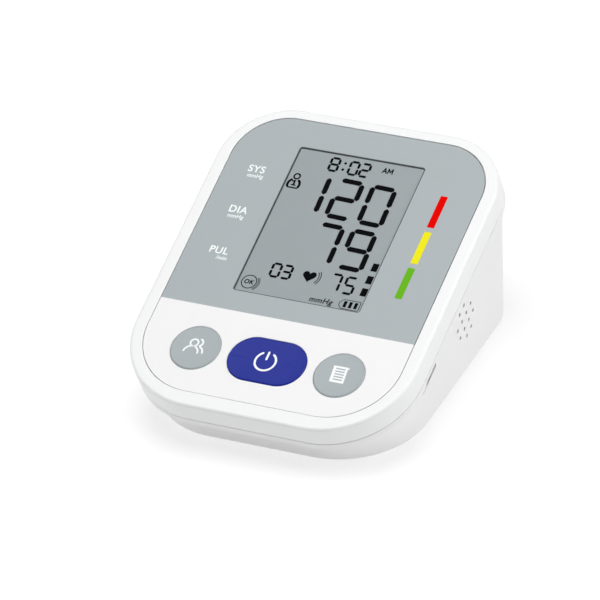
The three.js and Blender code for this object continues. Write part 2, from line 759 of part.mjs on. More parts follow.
/** Silicone hoses, each pushed straight over the spigot at either end. */
function hoses() {
  const { x, y, z } = manifold;
  const valveX = valve.x + valveSpigotX;
  const valveTop = valve.z + valve.height;
  const alongSensor = (deckZ) => new THREE.Vector3(sensorAt.x, sensorAt.y, deckZ)
    .applyMatrix4(deck.matrix).toArray();
  const routes = {
    hose_pump: [
      [pump.x + 46.4, pump.y, pump.z], [pump.x + 52.2, pump.y, pump.z], [x - 3, y, pump.z + 2.2],
      [x - 0.2, y, pump.z + 5.2], [x, y, z - 7.4], [x, y, z - 3.4],
    ],
    hose_valve: [
      [valveX, y, valveTop + 0.4], [valveX, y, valveTop + 5.4], [valveX - 1, y, z - 3],
      [valveX - 4, y, z - 0.3], [x + 7.2, y, z], [x + 3.4, y, z],
    ],
    hose_sensor: [
      [x - 3.4, y, z], [x - 7.2, y, z], [sensorAt.x + 0.8, y, z + 2.2],
      alongSensor(sensorTip - 0.4), alongSensor(boardUnder - gap - 4.4),
    ],
    hose_socket: [
      [x, y - 3.4, z], [x, y - 7.2, z], [x - 3, 31, z - 0.5], [4, 24, 28.5], [-14, 20, 26.5],
      [-26, 13.5, 24.5], [airSocket.x + 19, airSocket.y, airSocket.z],
      [airSocket.x + 13.4, airSocket.y, airSocket.z],
    ],
  };
  for (const [name, points] of Object.entries(routes)) {
    const steps = name === 'hose_socket' ? 20 : 12;
    node(name, hose(points, hoseRadius, hoseBore, steps), 'silicone', caseFrame);
  }
}

function socketForCuff() {
  const mouth = 3.3;
  const sleeve = 5;
  const collar = 7;
  const body = 4.8;
  const profile = [
    [spigotBore, 12], [mouth, 12], [mouth, 0], [sleeve, 0], [sleeve, 3.4], [collar, 3.4],
    [collar, 5], [body, 5], [body, 13], [spigotRadius, 13], [spigotRadius, 19], [spigotBore, 19],
  ];
  return alongX(profile, airSocket.x, airSocket.y, airSocket.z, 16);
}

// ---------------------------------------------------------------- small parts

/** Round socket in a square housing under the board's edge, with a centre pin. */
function powerSocket() {
  const { y } = portRecess;
  const { innerX, outerX, halfLength, height, bore, boreDepth } = powerJack;
  const top = boardUnder - gap;
  const axisZ = top - height / 2;
  const housing = boxBetween([innerX, y - halfLength, top - height], [outerX, y + halfLength, top]);
  const alongAxis = (radius, length, endX) => new THREE.CylinderGeometry(radius, radius, length, 16)
    .rotateZ(Math.PI / 2).translate(endX - length / 2, y, axisZ);
  return without(solid(housing), alongAxis(bore, boreDepth + 1, outerX + 1))
    .add(solid(alongAxis(0.9, boreDepth, outerX - 1)));
}

function speaker() {
  const { x, y, z, radius, depth } = speakerAt;
  const magnet = 5;
  const magnetDepth = 1.6;
  const profile = [
    [0, 0], [magnet, 0], [magnet, magnetDepth], [radius, magnetDepth], [radius, depth],
    [radius - 1.2, depth], [radius - 1.6, depth - 0.8], [0, depth - 1.4],
  ];
  return alongX(profile, x, y, z, 20);
}

function leads() {
  const boardPoint = (x, y) => new THREE.Vector3(x, y, boardUnder - gap - 1.3)
    .applyMatrix4(deck.matrix).toArray();
  const routes = {
    speaker_lead: [[44.9, 12, 26.2], [42, 10.5, 29], [38, 6, 31], boardPoint(32, 2)],
    motor_lead: [[-39.2, 43.5, 24], [-41, 40, 30], [-38, 34, 38], boardPoint(-32, 28)],
    battery_lead: [[-33.4, -12, 14], [-36, -12, 18], [-35, -12, 24], boardPoint(-31, -8)],
  };
  for (const [name, points] of Object.entries(routes)) {
    node(name, hose(points, 0.8, 0, 8, 6), 'blackRubber', caseFrame);
  }
}

/** Pan-head screw pointing up, with a cross recess; its head's upper face is at z = 0. */
function screw({ headRadius, headHeight, shankRadius, shankLength }) {
  const cross = headRadius * 0.62;
  return without(
    joined(
      post(0, 0, -headHeight, 0, headRadius, 12),
      post(0, 0, -0.3, shankLength, shankRadius, 6),
    ),
    boxBetween([-cross, -0.4, -headHeight - 1], [cross, 0.4, -headHeight + 1]),
    boxBetween([-0.4, -cross, -headHeight - 1], [0.4, cross, -headHeight + 1]),
  );
}

function screws() {
  caseScrews.forEach(({ x, y, split }, i) => {
    const seat = split - pillar.seat - gap;
    node(`case_screw_${i + 1}`, screw(caseScrewSize), 'steel', deck).position.set(x, y, seat);
  });
  boardScrews.forEach(({ x, y }, i) => {
    const seat = boardUnder - gap;
    node(`board_screw_${i + 1}`, screw(boardScrewSize), 'steel', deck).position.set(x, y, seat);
  });
}

function rubberFeet() {
  const profile = [
    [0, 1.2], [footRadius, 1.2], [footRadius, -footStand + 0.4], [footRadius - 0.4, -footStand],
    [0, -footStand],
  ];
  feet.forEach(({ x, y }, i) => {
    node(`foot_${i + 1}`, turned(profile, 16), 'greyRubber', caseFrame).position.set(x, y, 0);
  });
}

// ---------------------------------------------------------------- assembly

node('upper_case', upperCase(), 'casePlastic', deck);
node('lower_case', lowerCase(), 'casePlastic', caseFrame);
node('face_panel', facePanel(), 'panelPrint', deck);
displayStack();
electronics();
keys();
batteryBay();
node('battery_door', batteryDoor(), 'casePlastic', caseFrame);
airPump();
releaseValve();
node('air_manifold', airManifold(), 'innerPlastic', caseFrame);
hoses();
node('air_socket', socketForCuff(), 'innerPlastic', caseFrame);
node('power_socket', powerSocket(), 'steel', deck);
node('speaker', speaker(), 'darkPlastic', caseFrame);
leads();
screws();
rubberFeet();

export default monitor;
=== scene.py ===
"""Upper arm blood pressure monitor: the visible pieces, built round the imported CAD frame."""

import json
from math import cos, pi, radians, sin

import bmesh
import bpy
from mathutils import Matrix, Quaternion, Vector


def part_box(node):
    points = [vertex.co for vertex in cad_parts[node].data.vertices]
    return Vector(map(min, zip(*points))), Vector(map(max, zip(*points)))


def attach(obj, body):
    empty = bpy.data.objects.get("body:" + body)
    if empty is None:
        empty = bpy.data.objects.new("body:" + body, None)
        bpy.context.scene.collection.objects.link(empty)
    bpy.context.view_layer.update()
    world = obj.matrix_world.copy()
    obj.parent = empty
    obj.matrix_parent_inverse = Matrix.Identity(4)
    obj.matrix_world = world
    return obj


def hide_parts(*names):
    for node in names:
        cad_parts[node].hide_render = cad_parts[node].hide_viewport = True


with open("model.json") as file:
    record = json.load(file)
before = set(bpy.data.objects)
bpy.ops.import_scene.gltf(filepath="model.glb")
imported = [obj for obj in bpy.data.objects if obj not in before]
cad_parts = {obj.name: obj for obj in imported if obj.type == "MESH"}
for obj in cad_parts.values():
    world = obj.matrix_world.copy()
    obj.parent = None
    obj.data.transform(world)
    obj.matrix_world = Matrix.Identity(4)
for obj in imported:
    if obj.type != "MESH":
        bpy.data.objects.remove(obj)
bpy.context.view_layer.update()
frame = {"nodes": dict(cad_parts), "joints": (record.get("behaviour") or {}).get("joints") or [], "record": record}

MM = 0.001
CORNER_STEPS = 20
LEAST_RADIUS = 0.02
WELD = 1e-4
CAD_FACET = 0.05

# ------------------------------------------------------------------ frames


def middle(node):
    low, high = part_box(node)
    return (low + high) / 2


def joint(name):
    return next(j for j in frame["joints"] if j["name"] == name)


# The deck frame lies on the tilted face: X right, Y up the slope, Z out of the face, in mm,
# with its origin at the panel's middle. The case frame stands on the case's flat bottom.
FILM_MIDDLE_Z = -0.725
deck_out = -Vector(joint("power_key_press")["axis"]).normalized()
deck_right = Vector((1, 0, 0))
deck_up = deck_out.cross(deck_right)
deck_origin = middle("face_panel") - deck_out * FILM_MIDDLE_Z * MM
DECK = Matrix.Translation(deck_origin) @ Matrix((deck_right, deck_up, deck_out)).transposed().to_4x4()
DECK = DECK @ Matrix.Scale(MM, 4)

FOOT_STAND = 1.0
CASE_SHIFT_Y = -1.166
CASE = Matrix.Translation((0, CASE_SHIFT_Y * MM, FOOT_STAND * MM)) @ Matrix.Scale(MM, 4)
DECK_IN_CASE = CASE.inverted() @ DECK

# ------------------------------------------------------------------ dimensions, mm

# halfWidth, front, back, front corner radius, back corner radius
SLAB = (55.62, -67.78, 65.92, 32.2, 25.3)
PANEL = (50.12, -61.7, 61.44, 25, 19.9)
RECESS = (50.4, -61.82, 61.72, 25, 19.9)
BODY_TOP = (52.4, -63.76, 63.06, 25.5, 16.4)
BODY_FOOT = (52.15, -54.4, 58.3, 31.5, 18.5)
FOOT_ROUNDING = {"side": 2.2, "front": 2.4, "back": 13}
WALL = 2.2

WINDOW = (25.06, -16.2, 49.68, 1.0, 1.0)
KEY_Y = -43.4
KEY_X = 28.36
KEY_RADIUS = 9.45
POWER_HALF = 15.1
KEY_CLEARANCE = 0.12
FILM_TOP = -0.15
FILM_UNDER = -1.3
PRINT_EDGE_Y = -25.04
LCD_TOP = -1.6
POLARISER_TOP = -0.5
LENS_TOP = -0.24
SEAL_WIDTH = 0.27
# The slide widens the dark seal on the left and at the back: painted shade of the window's recess walls.
SEAL_SHADE_SLIDE = 0.11
SEAM = -9.0
SEAM_DEPTH = 0.3
SEAM_EDGE = 0.14

# ------------------------------------------------------------------ materials


def material(name, colour, roughness=0.45, spread=0.04, grain=0.35, bump=0.05, **extra):
    """Principled material with soft colour drift, roughness variation and a fine surface grain.

    grain is the size of the surface texture in mm, bump its strength; extra sets sockets by name.
    """
    made = bpy.data.materials.new(name)
    made.use_nodes = True
    nodes, links = made.node_tree.nodes, made.node_tree.links
    shader = nodes["Principled BSDF"]
    place = nodes.new("ShaderNodeTexCoord").outputs["Object"]

    def noise(scale_mm, detail=2.0):
        texture = nodes.new("ShaderNodeTexNoise")
        texture.inputs["Scale"].default_value = 1 / (scale_mm * MM)
        texture.inputs["Detail"].default_value = detail
        links.new(place, texture.inputs["Vector"])
        return texture.outputs["Fac"]

    drift = nodes.new("ShaderNodeMix")
    drift.data_type = "RGBA"
    light = [min(1.0, c * (1 + spread)) for c in colour[:3]]
    dark = [c * (1 - spread) for c in colour[:3]]
    drift.inputs["A"].default_value = (*dark, 1)
    drift.inputs["B"].default_value = (*light, 1)
    links.new(noise(14, 3.0), drift.inputs["Factor"])
    links.new(drift.outputs["Result"], shader.inputs["Base Color"])

    polish = nodes.new("ShaderNodeMapRange")
    polish.inputs["To Min"].default_value = max(0.02, roughness * 0.85)
    polish.inputs["To Max"].default_value = min(1.0, roughness * 1.15)
    links.new(noise(5, 4.0), polish.inputs["Value"])
    links.new(polish.outputs["Result"], shader.inputs["Roughness"])

    if bump > 0:
        relief = nodes.new("ShaderNodeBump")
        relief.inputs["Strength"].default_value = bump
        relief.inputs["Distance"].default_value = 0.1 * MM
        links.new(noise(grain), relief.inputs["Height"])
        links.new(relief.outputs["Normal"], shader.inputs["Normal"])
    for socket, value in extra.items():
        shader.inputs[socket.replace("_", " ")].default_value = value
    return made


def srgb(*values):
    """Linear colour from sRGB values of 0 to 255."""
    def linear(value):
        share = value / 255
        return share / 12.92 if share <= 0.04045 else ((share + 0.055) / 1.055) ** 2.4
    return [linear(value) for value in values]


PLASTIC_WHITE = material("plastic_white", srgb(238, 239, 239), 0.42, 0.01, 0.3, 0.12)
# The lower case and the door: the same white plastic a little darker, painted shade for the shade under the
# flange.
PLASTIC_BODY_SHADED = material("plastic_body_painted_shade", srgb(235, 235, 235), 0.45, 0.01, 0.3, 0.12)
FILM_GREY = material("film_grey", srgb(166, 174, 177), 0.4, 0.01, 0.25, 0.08)
FILM_WHITE = material("film_white", srgb(238, 238, 238), 0.4, 0.01, 0.25, 0.08)
LENS = material(
    "lens_clear", srgb(90, 96, 98), 0.06, 0.01, 2.0, 0.0, Alpha=0.02, Specular_IOR_Level=0.2,
)
SEAL = material("seal_dark", srgb(62, 66, 68), 0.6, 0.05)
LCD = material("lcd_glass", srgb(155, 163, 166), 0.3, 0.008, 0.2, 0.03)
POLARISER = material("lcd_polariser", srgb(155, 163, 166), 0.35, 0.008, 0.2, 0.03)
LCD_REFLECTOR = material("lcd_reflector", srgb(205, 208, 205), 0.5)
INK = material("lcd_ink", srgb(4, 3, 5), 0.7, 0.1, bump=0.0, Specular_IOR_Level=0.0)
INK_FAINT = material("lcd_ink_faint", srgb(44, 50, 52), 0.7, 0.05, bump=0.0, Specular_IOR_Level=0.0)
PRINT_WHITE = material("print_white", srgb(244, 246, 246), 0.45, 0.01)
BAR_RED = material("bar_red", srgb(226, 10, 5), 0.7, 0.02, Specular_IOR_Level=0.0)
BAR_YELLOW = material("bar_yellow", srgb(236, 228, 34), 0.7, 0.02, Specular_IOR_Level=0.0)
BAR_GREEN = material("bar_green", srgb(104, 178, 36), 0.7, 0.02, Specular_IOR_Level=0.0)
KEY_GREY = material("key_grey", srgb(165, 173, 176), 0.45, 0.012, 0.3, 0.1)
KEY_BLUE = material("key_blue", srgb(30, 44, 144), 0.4, 0.03, 0.3, 0.1, Specular_IOR_Level=0.25)
INNER_PLASTIC = material("inner_plastic", srgb(214, 214, 208), 0.5, 0.02)
DARK_PLASTIC = material("dark_plastic", srgb(38, 40, 42), 0.5, 0.08)
ELASTOMER = material("elastomer", srgb(196, 140, 150), 0.7, 0.08, 0.4, 0.2)
BOARD = material("board_green", srgb(26, 92, 52), 0.35, 0.12, 1.2, 0.15)
STEEL = material("steel_plated", srgb(196, 198, 200), 0.28, 0.06, 0.6, 0.08, Metallic=1.0)
RUBBER_BLACK = material("rubber_black", srgb(34, 34, 35), 0.75, 0.1, 0.25, 0.25)
RUBBER_GREY = material("rubber_grey", srgb(128, 132, 135), 0.8, 0.05, 0.25, 0.3)
SILICONE = material("silicone", srgb(226, 224, 214), 0.55, 0.02, 0.5, 0.1)
CELL_WRAP = material("cell_wrap", srgb(28, 92, 62), 0.28, 0.06, 0.8, 0.03)
CELL_BAND = material("cell_band", srgb(205, 170, 90), 0.3, 0.05, 0.8, 0.03, Metallic=0.6)

SLOT_MATERIALS = {
    "case_white": PLASTIC_WHITE,
    "display_glass": LCD,
    "white_sheet": LCD_REFLECTOR,
    "inner_plastic": INNER_PLASTIC,
    "dark_plastic": DARK_PLASTIC,
    "elastomer": ELASTOMER,
    "board_green": BOARD,
    "steel": STEEL,
    "black_rubber": RUBBER_BLACK,
    "grey_rubber": RUBBER_GREY,
    "silicone": SILICONE,
    "cell_wrap": CELL_WRAP,
}

# ------------------------------------------------------------------ mesh helpers


def piece(name, mesh_maker, place, finish, body="case", replaces=(), sharp=32):
    """A named piece from a bmesh in mm, put in place, shaded, and riding on a body."""
    bm = mesh_maker if isinstance(mesh_maker, bmesh.types.BMesh) else mesh_maker()
    bmesh.ops.transform(bm, matrix=place, verts=bm.verts)
    bmesh.ops.recalc_face_normals(bm, faces=bm.faces)
    mesh = bpy.data.meshes.new(name)
    bm.to_mesh(mesh)
    bm.free()
    made = bpy.data.objects.new(name, mesh)
    bpy.context.scene.collection.objects.link(made)
    for each in finish if isinstance(finish, (list, tuple)) else [finish]:
        mesh.materials.append(each)
    soften(made, sharp)
    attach(made, body)
    if replaces:
        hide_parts(*replaces)
    return made


def soften(made, sharp):
    """Smooth shading with sharp edges over an angle, and normals weighted by face area."""
    mesh = made.data
    mesh.polygons.foreach_set("use_smooth", [True] * len(mesh.polygons))
    mesh.set_sharp_from_angle(angle=radians(sharp))
    weighted = made.modifiers.new("weighted", "WEIGHTED_NORMAL")
    weighted.keep_sharp = True
    weighted.weight = 100


def ring(outline, inset=0.0, steps=CORNER_STEPS):
    """Points and outward normals round a rectangle with rounded corners."""
    half, front, back, front_radius, back_radius = outline
    corners = [
        (half - back_radius, back - back_radius, back_radius, 0),
        (back_radius - half, back - back_radius, back_radius, 90),
        (front_radius - half, front + front_radius, front_radius, 180),
        (half - front_radius, front + front_radius, front_radius, 270),
    ]
    points = []
    for x, y, radius, start in corners:
        for i in range(steps + 1):
            angle = radians(start + 90 * i / steps)
            away_x, away_y = cos(angle), sin(angle)
            reach = max(radius - inset, LEAST_RADIUS)
            if radius - inset < LEAST_RADIUS:
                x_at = x + (radius - inset) * (1 if cos(radians(start + 45)) > 0 else -1)
                y_at = y + (radius - inset) * (1 if sin(radians(start + 45)) > 0 else -1)
            else:
                x_at, y_at = x, y
            points.append((x_at + reach * away_x, y_at + reach * away_y, away_x, away_y))
    return points


def level(outline, inset, z, steps=CORNER_STEPS):
    return [Vector((x, y, z)) for x, y, _, _ in ring(outline, inset, steps)]


def disc(x, y, radius, z, sides=48):
    return [
        Vector((x + radius * cos(2 * pi * i / sides), y + radius * sin(2 * pi * i / sides), z))
        for i in range(sides)
    ]


def loft(bm, rings, closed=False, cap_first=True, cap_last=True):
    """Skin over rings of equal length; closed joins the last ring to the first."""
    rows = [[bm.verts.new(p) for p in points] for points in rings]
    pairs = list(zip(rows, rows[1:]))
    if closed:
        pairs.append((rows[-1], rows[0]))
    for low, high in pairs:
        for i in range(len(low)):
            j = (i + 1) % len(low)
            bm.faces.new((low[i], low[j], high[j], high[i]))
    if not closed and cap_first:
        bm.faces.new(list(reversed(rows[0])))
    if not closed and cap_last:
        bm.faces.new(rows[-1])
    return rows


def lofted(*rings, **how):
    bm = bmesh.new()
    loft(bm, rings, **how)
    return bm


def fillet(outline, radius, z_from, z_to, inset=0.0, steps=6):
    """Rings that round an edge from a wall at z_from to a flat at z_to."""
    turn = 1 if z_to > z_from else -1
    made = []
    for i in range(steps + 1):
        angle = pi / 2 * i / steps
        made.append(level(
            outline, inset + radius * (1 - cos(angle)), z_to - turn * radius * (1 - sin(angle)),
        ))
    return made


def prism(bm, outline, low, high):
    """Solid between two heights over a polygon of (x, y) points."""
    floor = [bm.verts.new((x, y, low)) for x, y in outline]
    roof = [bm.verts.new((x, y, high)) for x, y in outline]
    bm.faces.new(list(reversed(floor)))
    bm.faces.new(roof)
    for i in range(len(outline)):
        j = (i + 1) % len(outline)
        bm.faces.new((floor[i], floor[j], roof[j], roof[i]))


def box_mesh(low, high):
    bm = bmesh.new()
    corners = [(low[0], low[1]), (high[0], low[1]), (high[0], high[1]), (low[0], high[1])]
    prism(bm, corners, low[2], high[2])
    return bm


def cylinder(x, y, low, high, radius, sides=40):
    return lofted(disc(x, y, radius, low, sides), disc(x, y, radius, high, sides))


def turned(profile, sides=48):
    """Turned solid about Z from (radius, height) pairs; ends on the axis become points."""
    bm = bmesh.new()
    inner = [(r, z) for r, z in profile if r > 1e-6]
    rows = loft(bm, [disc(0, 0, r, z, sides) for r, z in inner], cap_first=False, cap_last=False)
    for end, row in ((profile[0], rows[0]), (profile[-1], rows[-1])):
        if end[0] <= 1e-6:
            tip = bm.verts.new((0, 0, end[1]))
            for i in range(sides):
                bm.faces.new((row[i], row[(i + 1) % sides], tip))
    if profile[0][0] > 1e-6:
        for i in range(sides):
            j = (i + 1) % sides
            bm.faces.new((rows[-1][i], rows[-1][j], rows[0][j], rows[0][i]))
    return bm


def moved(bm, matrix):
    bmesh.ops.transform(bm, matrix=matrix, verts=bm.verts)
    return bm


def carve(base, cutters=(), additions=()):
    """Booleans on bmeshes: additions are joined to the base, then cutters are taken out of it."""
    scene = bpy.context.scene.collection

    def as_object(bm, name):
        bmesh.ops.recalc_face_normals(bm, faces=bm.faces)
        mesh = bpy.data.meshes.new(name)
        bm.to_mesh(mesh)
        bm.free()
        made = bpy.data.objects.new(name, mesh)
        scene.objects.link(made)
        return made

    body = as_object(base, "carve_base")
    helpers = []
    for operation, parts in (("UNION", additions), ("DIFFERENCE", cutters)):
        for part in parts:
            helper = as_object(part, "carve_tool")
            helpers.append(helper)
            step = body.modifiers.new("carve", "BOOLEAN")
            step.operation = operation
            step.solver = "EXACT"
            step.object = helper
    graph = bpy.context.evaluated_depsgraph_get()
    result = bmesh.new()
    result.from_mesh(body.evaluated_get(graph).to_mesh())
    for used in [body, *helpers]:
        mesh = used.data
        bpy.data.objects.remove(used)
        bpy.data.meshes.remove(mesh)
    bmesh.ops.dissolve_degenerate(result, dist=1e-5, edges=result.edges)
    return result


def mesh_of_curve(curve):
    """Bmesh of a filled and extruded curve; the curve itself is used up."""
    holder = bpy.data.objects.new("curve", curve)
    bpy.context.scene.collection.objects.link(holder)
    graph = bpy.context.evaluated_depsgraph_get()
    mesh = bpy.data.meshes.new_from_object(holder.evaluated_get(graph))
    bm = bmesh.new()
    bm.from_mesh(mesh)
    bpy.data.objects.remove(holder)
    bpy.data.curves.remove(curve)
    bpy.data.meshes.remove(mesh)
    bmesh.ops.remove_doubles(bm, verts=bm.verts, dist=WELD)
    return bm


def filled_plate(outlines, low, high, bevel=0.0):
    """Plate from closed outlines, the first its edge and the others holes, with bevelled edges."""
    curve = bpy.data.curves.new("plate", "CURVE")
    curve.dimensions = "2D"
    curve.fill_mode = "BOTH"
    curve.extrude = (high - low) / 2 - bevel
    curve.bevel_depth = bevel
    curve.bevel_resolution = 2
    curve.offset = -bevel
    for points in outlines:
        spline = curve.splines.new("POLY")
        spline.points.add(len(points) - 1)
        for target, (x, y) in zip(spline.points, points):
            target.co = (x, y, 0, 1)
        spline.use_cyclic_u = True
    return moved(mesh_of_curve(curve), Matrix.Translation((0, 0, (low + high) / 2)))


def flat(points):
    return [(p[0], p[1]) for p in points]


def key_outline(half_length, radius, x):
    """Stadium or circle outline round the middle of a key."""
    outline = (half_length, -radius, radius, radius, radius)
    return [(px + x, py + KEY_Y) for px, py, _, _ in ring(outline)]


def key_openings():
    """Outlines of the three openings that the keys pass through."""
    reach = KEY_RADIUS + KEY_CLEARANCE
    return [
        key_outline(reach, reach, -KEY_X),
        key_outline(POWER_HALF + KEY_CLEARANCE, reach, 0),
        key_outline(reach, reach, KEY_X),
    ]


# ------------------------------------------------------------------ upper case


def upper_shell():
    """Bezel with a rounded rim, a recess for the film and a floor under it."""
    outer_round = 1.2
    upper_edge = SEAM + 0.16
    floor_top, floor_under = -1.6, -3.2
    band = lofted(
        level(SLAB, WALL, SEAM),
        level(SLAB, SEAM_DEPTH, SEAM),
        level(SLAB, SEAM_DEPTH, upper_edge),
        *reversed(fillet(SLAB, SEAM_EDGE, upper_edge + SEAM_EDGE, upper_edge, steps=3)),
        *fillet(SLAB, outer_round, -outer_round, -CAD_FACET, inset=CAD_FACET, steps=10),
        level(RECESS, -0.3, -CAD_FACET),
        level(RECESS, -0.1, -0.09),
        level(RECESS, 0, -0.22),
        level(RECESS, 0, floor_top),
        level(PANEL, 2.0, floor_top),
        level(PANEL, 2.0, floor_under),
        level(SLAB, WALL + 1.2, floor_under),
        level(SLAB, WALL, floor_under - 1.2),
        closed=True,
    )
    display = [(x, y) for x, y, _, _ in ring((28.6, -19.86, 53.34, 0.6, 0.6), 0, 4)]
    floor = filled_plate(
        [
            [(x, y) for x, y, _, _ in ring(PANEL, 1.0)],
            display,
            *key_openings(),
        ],
        floor_under + 0.02, floor_top - 0.02,
    )
    return carve(band, additions=[floor])


piece("upper_shell", upper_shell, DECK, PLASTIC_WHITE, replaces=["upper_case"])

# ------------------------------------------------------------------ face film


def face_film():
    """Printed film with the window and the keys cut out, grey behind a straight edge, white before."""
    film = filled_plate(
        [
            flat(level(PANEL, 0, 0)),
            flat(level(WINDOW, -0.12, 0, 6)),
            *key_openings(),
        ],
        FILM_UNDER, FILM_TOP, bevel=0.05,
    )
    whole = [*film.verts, *film.edges, *film.faces]
    bmesh.ops.bisect_plane(film, geom=whole, plane_co=(0, PRINT_EDGE_Y, 0), plane_no=(0, 1, 0))
    for face in film.faces:
        face.material_index = 0 if face.calc_center_median().y > PRINT_EDGE_Y else 1
    return film


piece("face_film", face_film, DECK, [FILM_GREY, FILM_WHITE],
      replaces=["face_panel"])

# ------------------------------------------------------------------ display


def in_window(inset, z):
    """Ring inside the window, slid a little so that the dark seal is wider on the left and at the back, painted
    shade of the recess walls seen there.
    """
    slide = Vector((SEAL_SHADE_SLIDE, -SEAL_SHADE_SLIDE, 0))
    return [point + slide for point in level(WINDOW, inset, z, 6)]


def window_lens():
    return lofted(
        in_window(SEAL_WIDTH + 0.05, POLARISER_TOP + 0.06),
        in_window(SEAL_WIDTH + 0.02, POLARISER_TOP + 0.09),
        in_window(SEAL_WIDTH + 0.02, LENS_TOP - 0.05),
        in_window(SEAL_WIDTH + 0.07, LENS_TOP),
    )


def polariser():
    """Front sheet of the display, bonded to its glass and reaching up behind the window."""
    return lofted(
        in_window(SEAL_WIDTH + 0.03, LCD_TOP + 0.01),
        in_window(SEAL_WIDTH + 0.03, POLARISER_TOP - 0.04),
        in_window(SEAL_WIDTH + 0.07, POLARISER_TOP),
    )


# Dark seal all round the window's edge; its extra width on the left and at the back is painted shade.
def window_seal():
    return lofted(
        level(WINDOW, -0.1, FILM_UNDER, 6),
        level(WINDOW, -0.1, FILM_TOP - 0.05, 6),
        level(WINDOW, -0.07, FILM_TOP - 0.02, 6),
        in_window(SEAL_WIDTH - 0.04, FILM_TOP - 0.02),
        in_window(SEAL_WIDTH, FILM_TOP - 0.06),
        in_window(SEAL_WIDTH, FILM_UNDER),
        closed=True,
    )


piece("window_lens", window_lens, DECK, LENS, replaces=["display_window"])
piece("window_seal", window_seal, DECK, SEAL)
piece("lcd_polariser", polariser, DECK, POLARISER)

# What the display shows lies on its glass, under the lens. Marks are laid out in the plane of the
# face and slid along the main viewing direction on to the glass.
VIEW_SLOPE = (0.53, -0.647)
INK_LOW, INK_HIGH = POLARISER_TOP - 0.01, POLARISER_TOP + 0.03
ON_GLASS = DECK @ Matrix.Translation((VIEW_SLOPE[0] * INK_HIGH, VIEW_SLOPE[1] * INK_HIGH, 0))

SEGMENTS = {
    "0": "abcdef", "1": "bc", "2": "abged", "3": "abgcd", "4": "fgbc",
    "5": "afgcd", "6": "afgedc", "7": "abc", "8": "abcdefg", "9": "abcdfg",
}


def bar_outline(start, end, width, gap):
    """Segment of a digit: a bar with cut corners between two points."""
    along = (end - start).normalized()
    side = Vector((-along.y, along.x))
    a, b = start + along * gap, end - along * gap
    half, cut = width / 2, width * 0.36
    return [
        a + side * (half - cut), a + along * cut + side * half,
        b - along * cut + side * half, b + side * (half - cut),
        b - side * (half - cut), b - along * cut - side * half,
        a + along * cut - side * half, a - side * (half - cut),
    ]


def add_digit(bm, digit, x, y, width, height, stroke, lean=-0.025, tilt=-0.035):
    """Seven-segment digit whose strokes' middle lines start at (x, y)."""
    def at(u, v):
        return Vector((x + u + lean * v, y + v + tilt * u))
    half = height / 2
    spans = {
        "a": (at(0, height), at(width, height)), "b": (at(width, height), at(width, half)),
        "c": (at(width, half), at(width, 0)), "d": (at(0, 0), at(width, 0)),
        "e": (at(0, 0), at(0, half)), "f": (at(0, half), at(0, height)),
        "g": (at(0, half), at(width, half)),
    }
    for name in SEGMENTS[digit]:
        start, end = spans[name]
        prism(bm, flat(bar_outline(start, end, stroke, stroke * 0.2)), INK_LOW, INK_HIGH)


def readings():
    bm = bmesh.new()
    big = {"width": 8.75, "height": 16.2, "stroke": 2.05}
    for digit, x, y in (("1", -16.8, 22.6), ("2", -3.55, 22.1), ("0", 9.5, 21.75),
                        ("7", -3.2, 1.85), ("9", 9.75, 1.45)):
        add_digit(bm, digit, x, y, **big)
    small = {"width": 3.3, "height": 5.6, "stroke": 0.98, "tilt": -0.015}
    for digit, x, y in (("8", -10.85, 41.6), ("0", -3.0, 41.35), ("2", 1.5, 41.3),
                        ("0", -14.0, -7.8), ("3", -9.6, -7.8)):
        add_digit(bm, digit, x, y, **small)
    for digit, x, y in (("7", 9.7, -9.1), ("5", 15.45, -9.3)):
        add_digit(bm, digit, x, y, width=3.6, height=7.0, stroke=1.0, tilt=-0.015)
    for y in (45.7, 42.8):
        prism(bm, flat(disc(-5.3, y, 0.55, 0, 16)), INK_LOW, INK_HIGH)
    mark_width, mark_height = 2.4, 3.45
    for x, y in ((22.2, 1.9), (22.25, -3.7), (22.35, -9.2)):
        corners = [(x, y), (x + mark_width, y), (x + mark_width, y + mark_height), (x, y + mark_height)]
        prism(bm, corners, INK_LOW, INK_HIGH)
    for x in (18.05, 20.15, 22.25):
        prism(bm, [(x, -15.15), (x + 1.2, -15.15), (x + 1.2, -12.5), (x, -12.5)], INK_LOW, INK_HIGH)
    return bm


def stroke_outline(points, width, caps=5):
    """Outline of a line of some width with round ends."""
    half = width / 2
    points = [Vector(p) for p in points]
    sides = []
    for i, point in enumerate(points):
        ahead = points[min(i + 1, len(points) - 1)] - points[max(i - 1, 0)]
        across = Vector((-ahead.y, ahead.x)).normalized() * half
        sides.append((point + across, point - across))

    def cap(centre, start, turn):
        """Half a turn round the end of the line."""
        arm = start - centre
        made = []
        for i in range(1, caps):
            angle = turn * pi * i / caps
            made.append(centre + Vector((
                arm.x * cos(angle) - arm.y * sin(angle), arm.x * sin(angle) + arm.y * cos(angle),
            )))
        return made

    left = [pair[0] for pair in sides]
    right = [pair[1] for pair in reversed(sides)]
    return [*left, *cap(points[-1], left[-1], -1), *right, *cap(points[0], right[-1], -1)]


def add_stroke(bm, points, width, low, high):
    prism(bm, flat(stroke_outline(points, width)), low, high)


def add_loop(bm, points, width, low, high):
    """Closed line of some width."""
    count = len(points)
    outer, inner = [], []
    for i in range(count):
        ahead = Vector(points[(i + 1) % count]) - Vector(points[i - 1])
        across = Vector((-ahead.y, ahead.x)).normalized() * width / 2
        outer.append(Vector(points[i]) - across)
        inner.append(Vector(points[i]) + across)
    loft(bm, [
        [Vector((*p, low)) for p in outer], [Vector((*p, high)) for p in outer],
        [Vector((*p, high)) for p in inner], [Vector((*p, low)) for p in inner],
    ], closed=True)


def arc(x, y, radius, start, end, steps=18, squeeze=1.0):
    """Points on an arc, angles in degrees; squeeze scales its height."""
    made = []
    for i in range(steps + 1):
        angle = radians(start + (end - start) * i / steps)
        made.append((x + radius * cos(angle), y + squeeze * radius * sin(angle)))
    return made


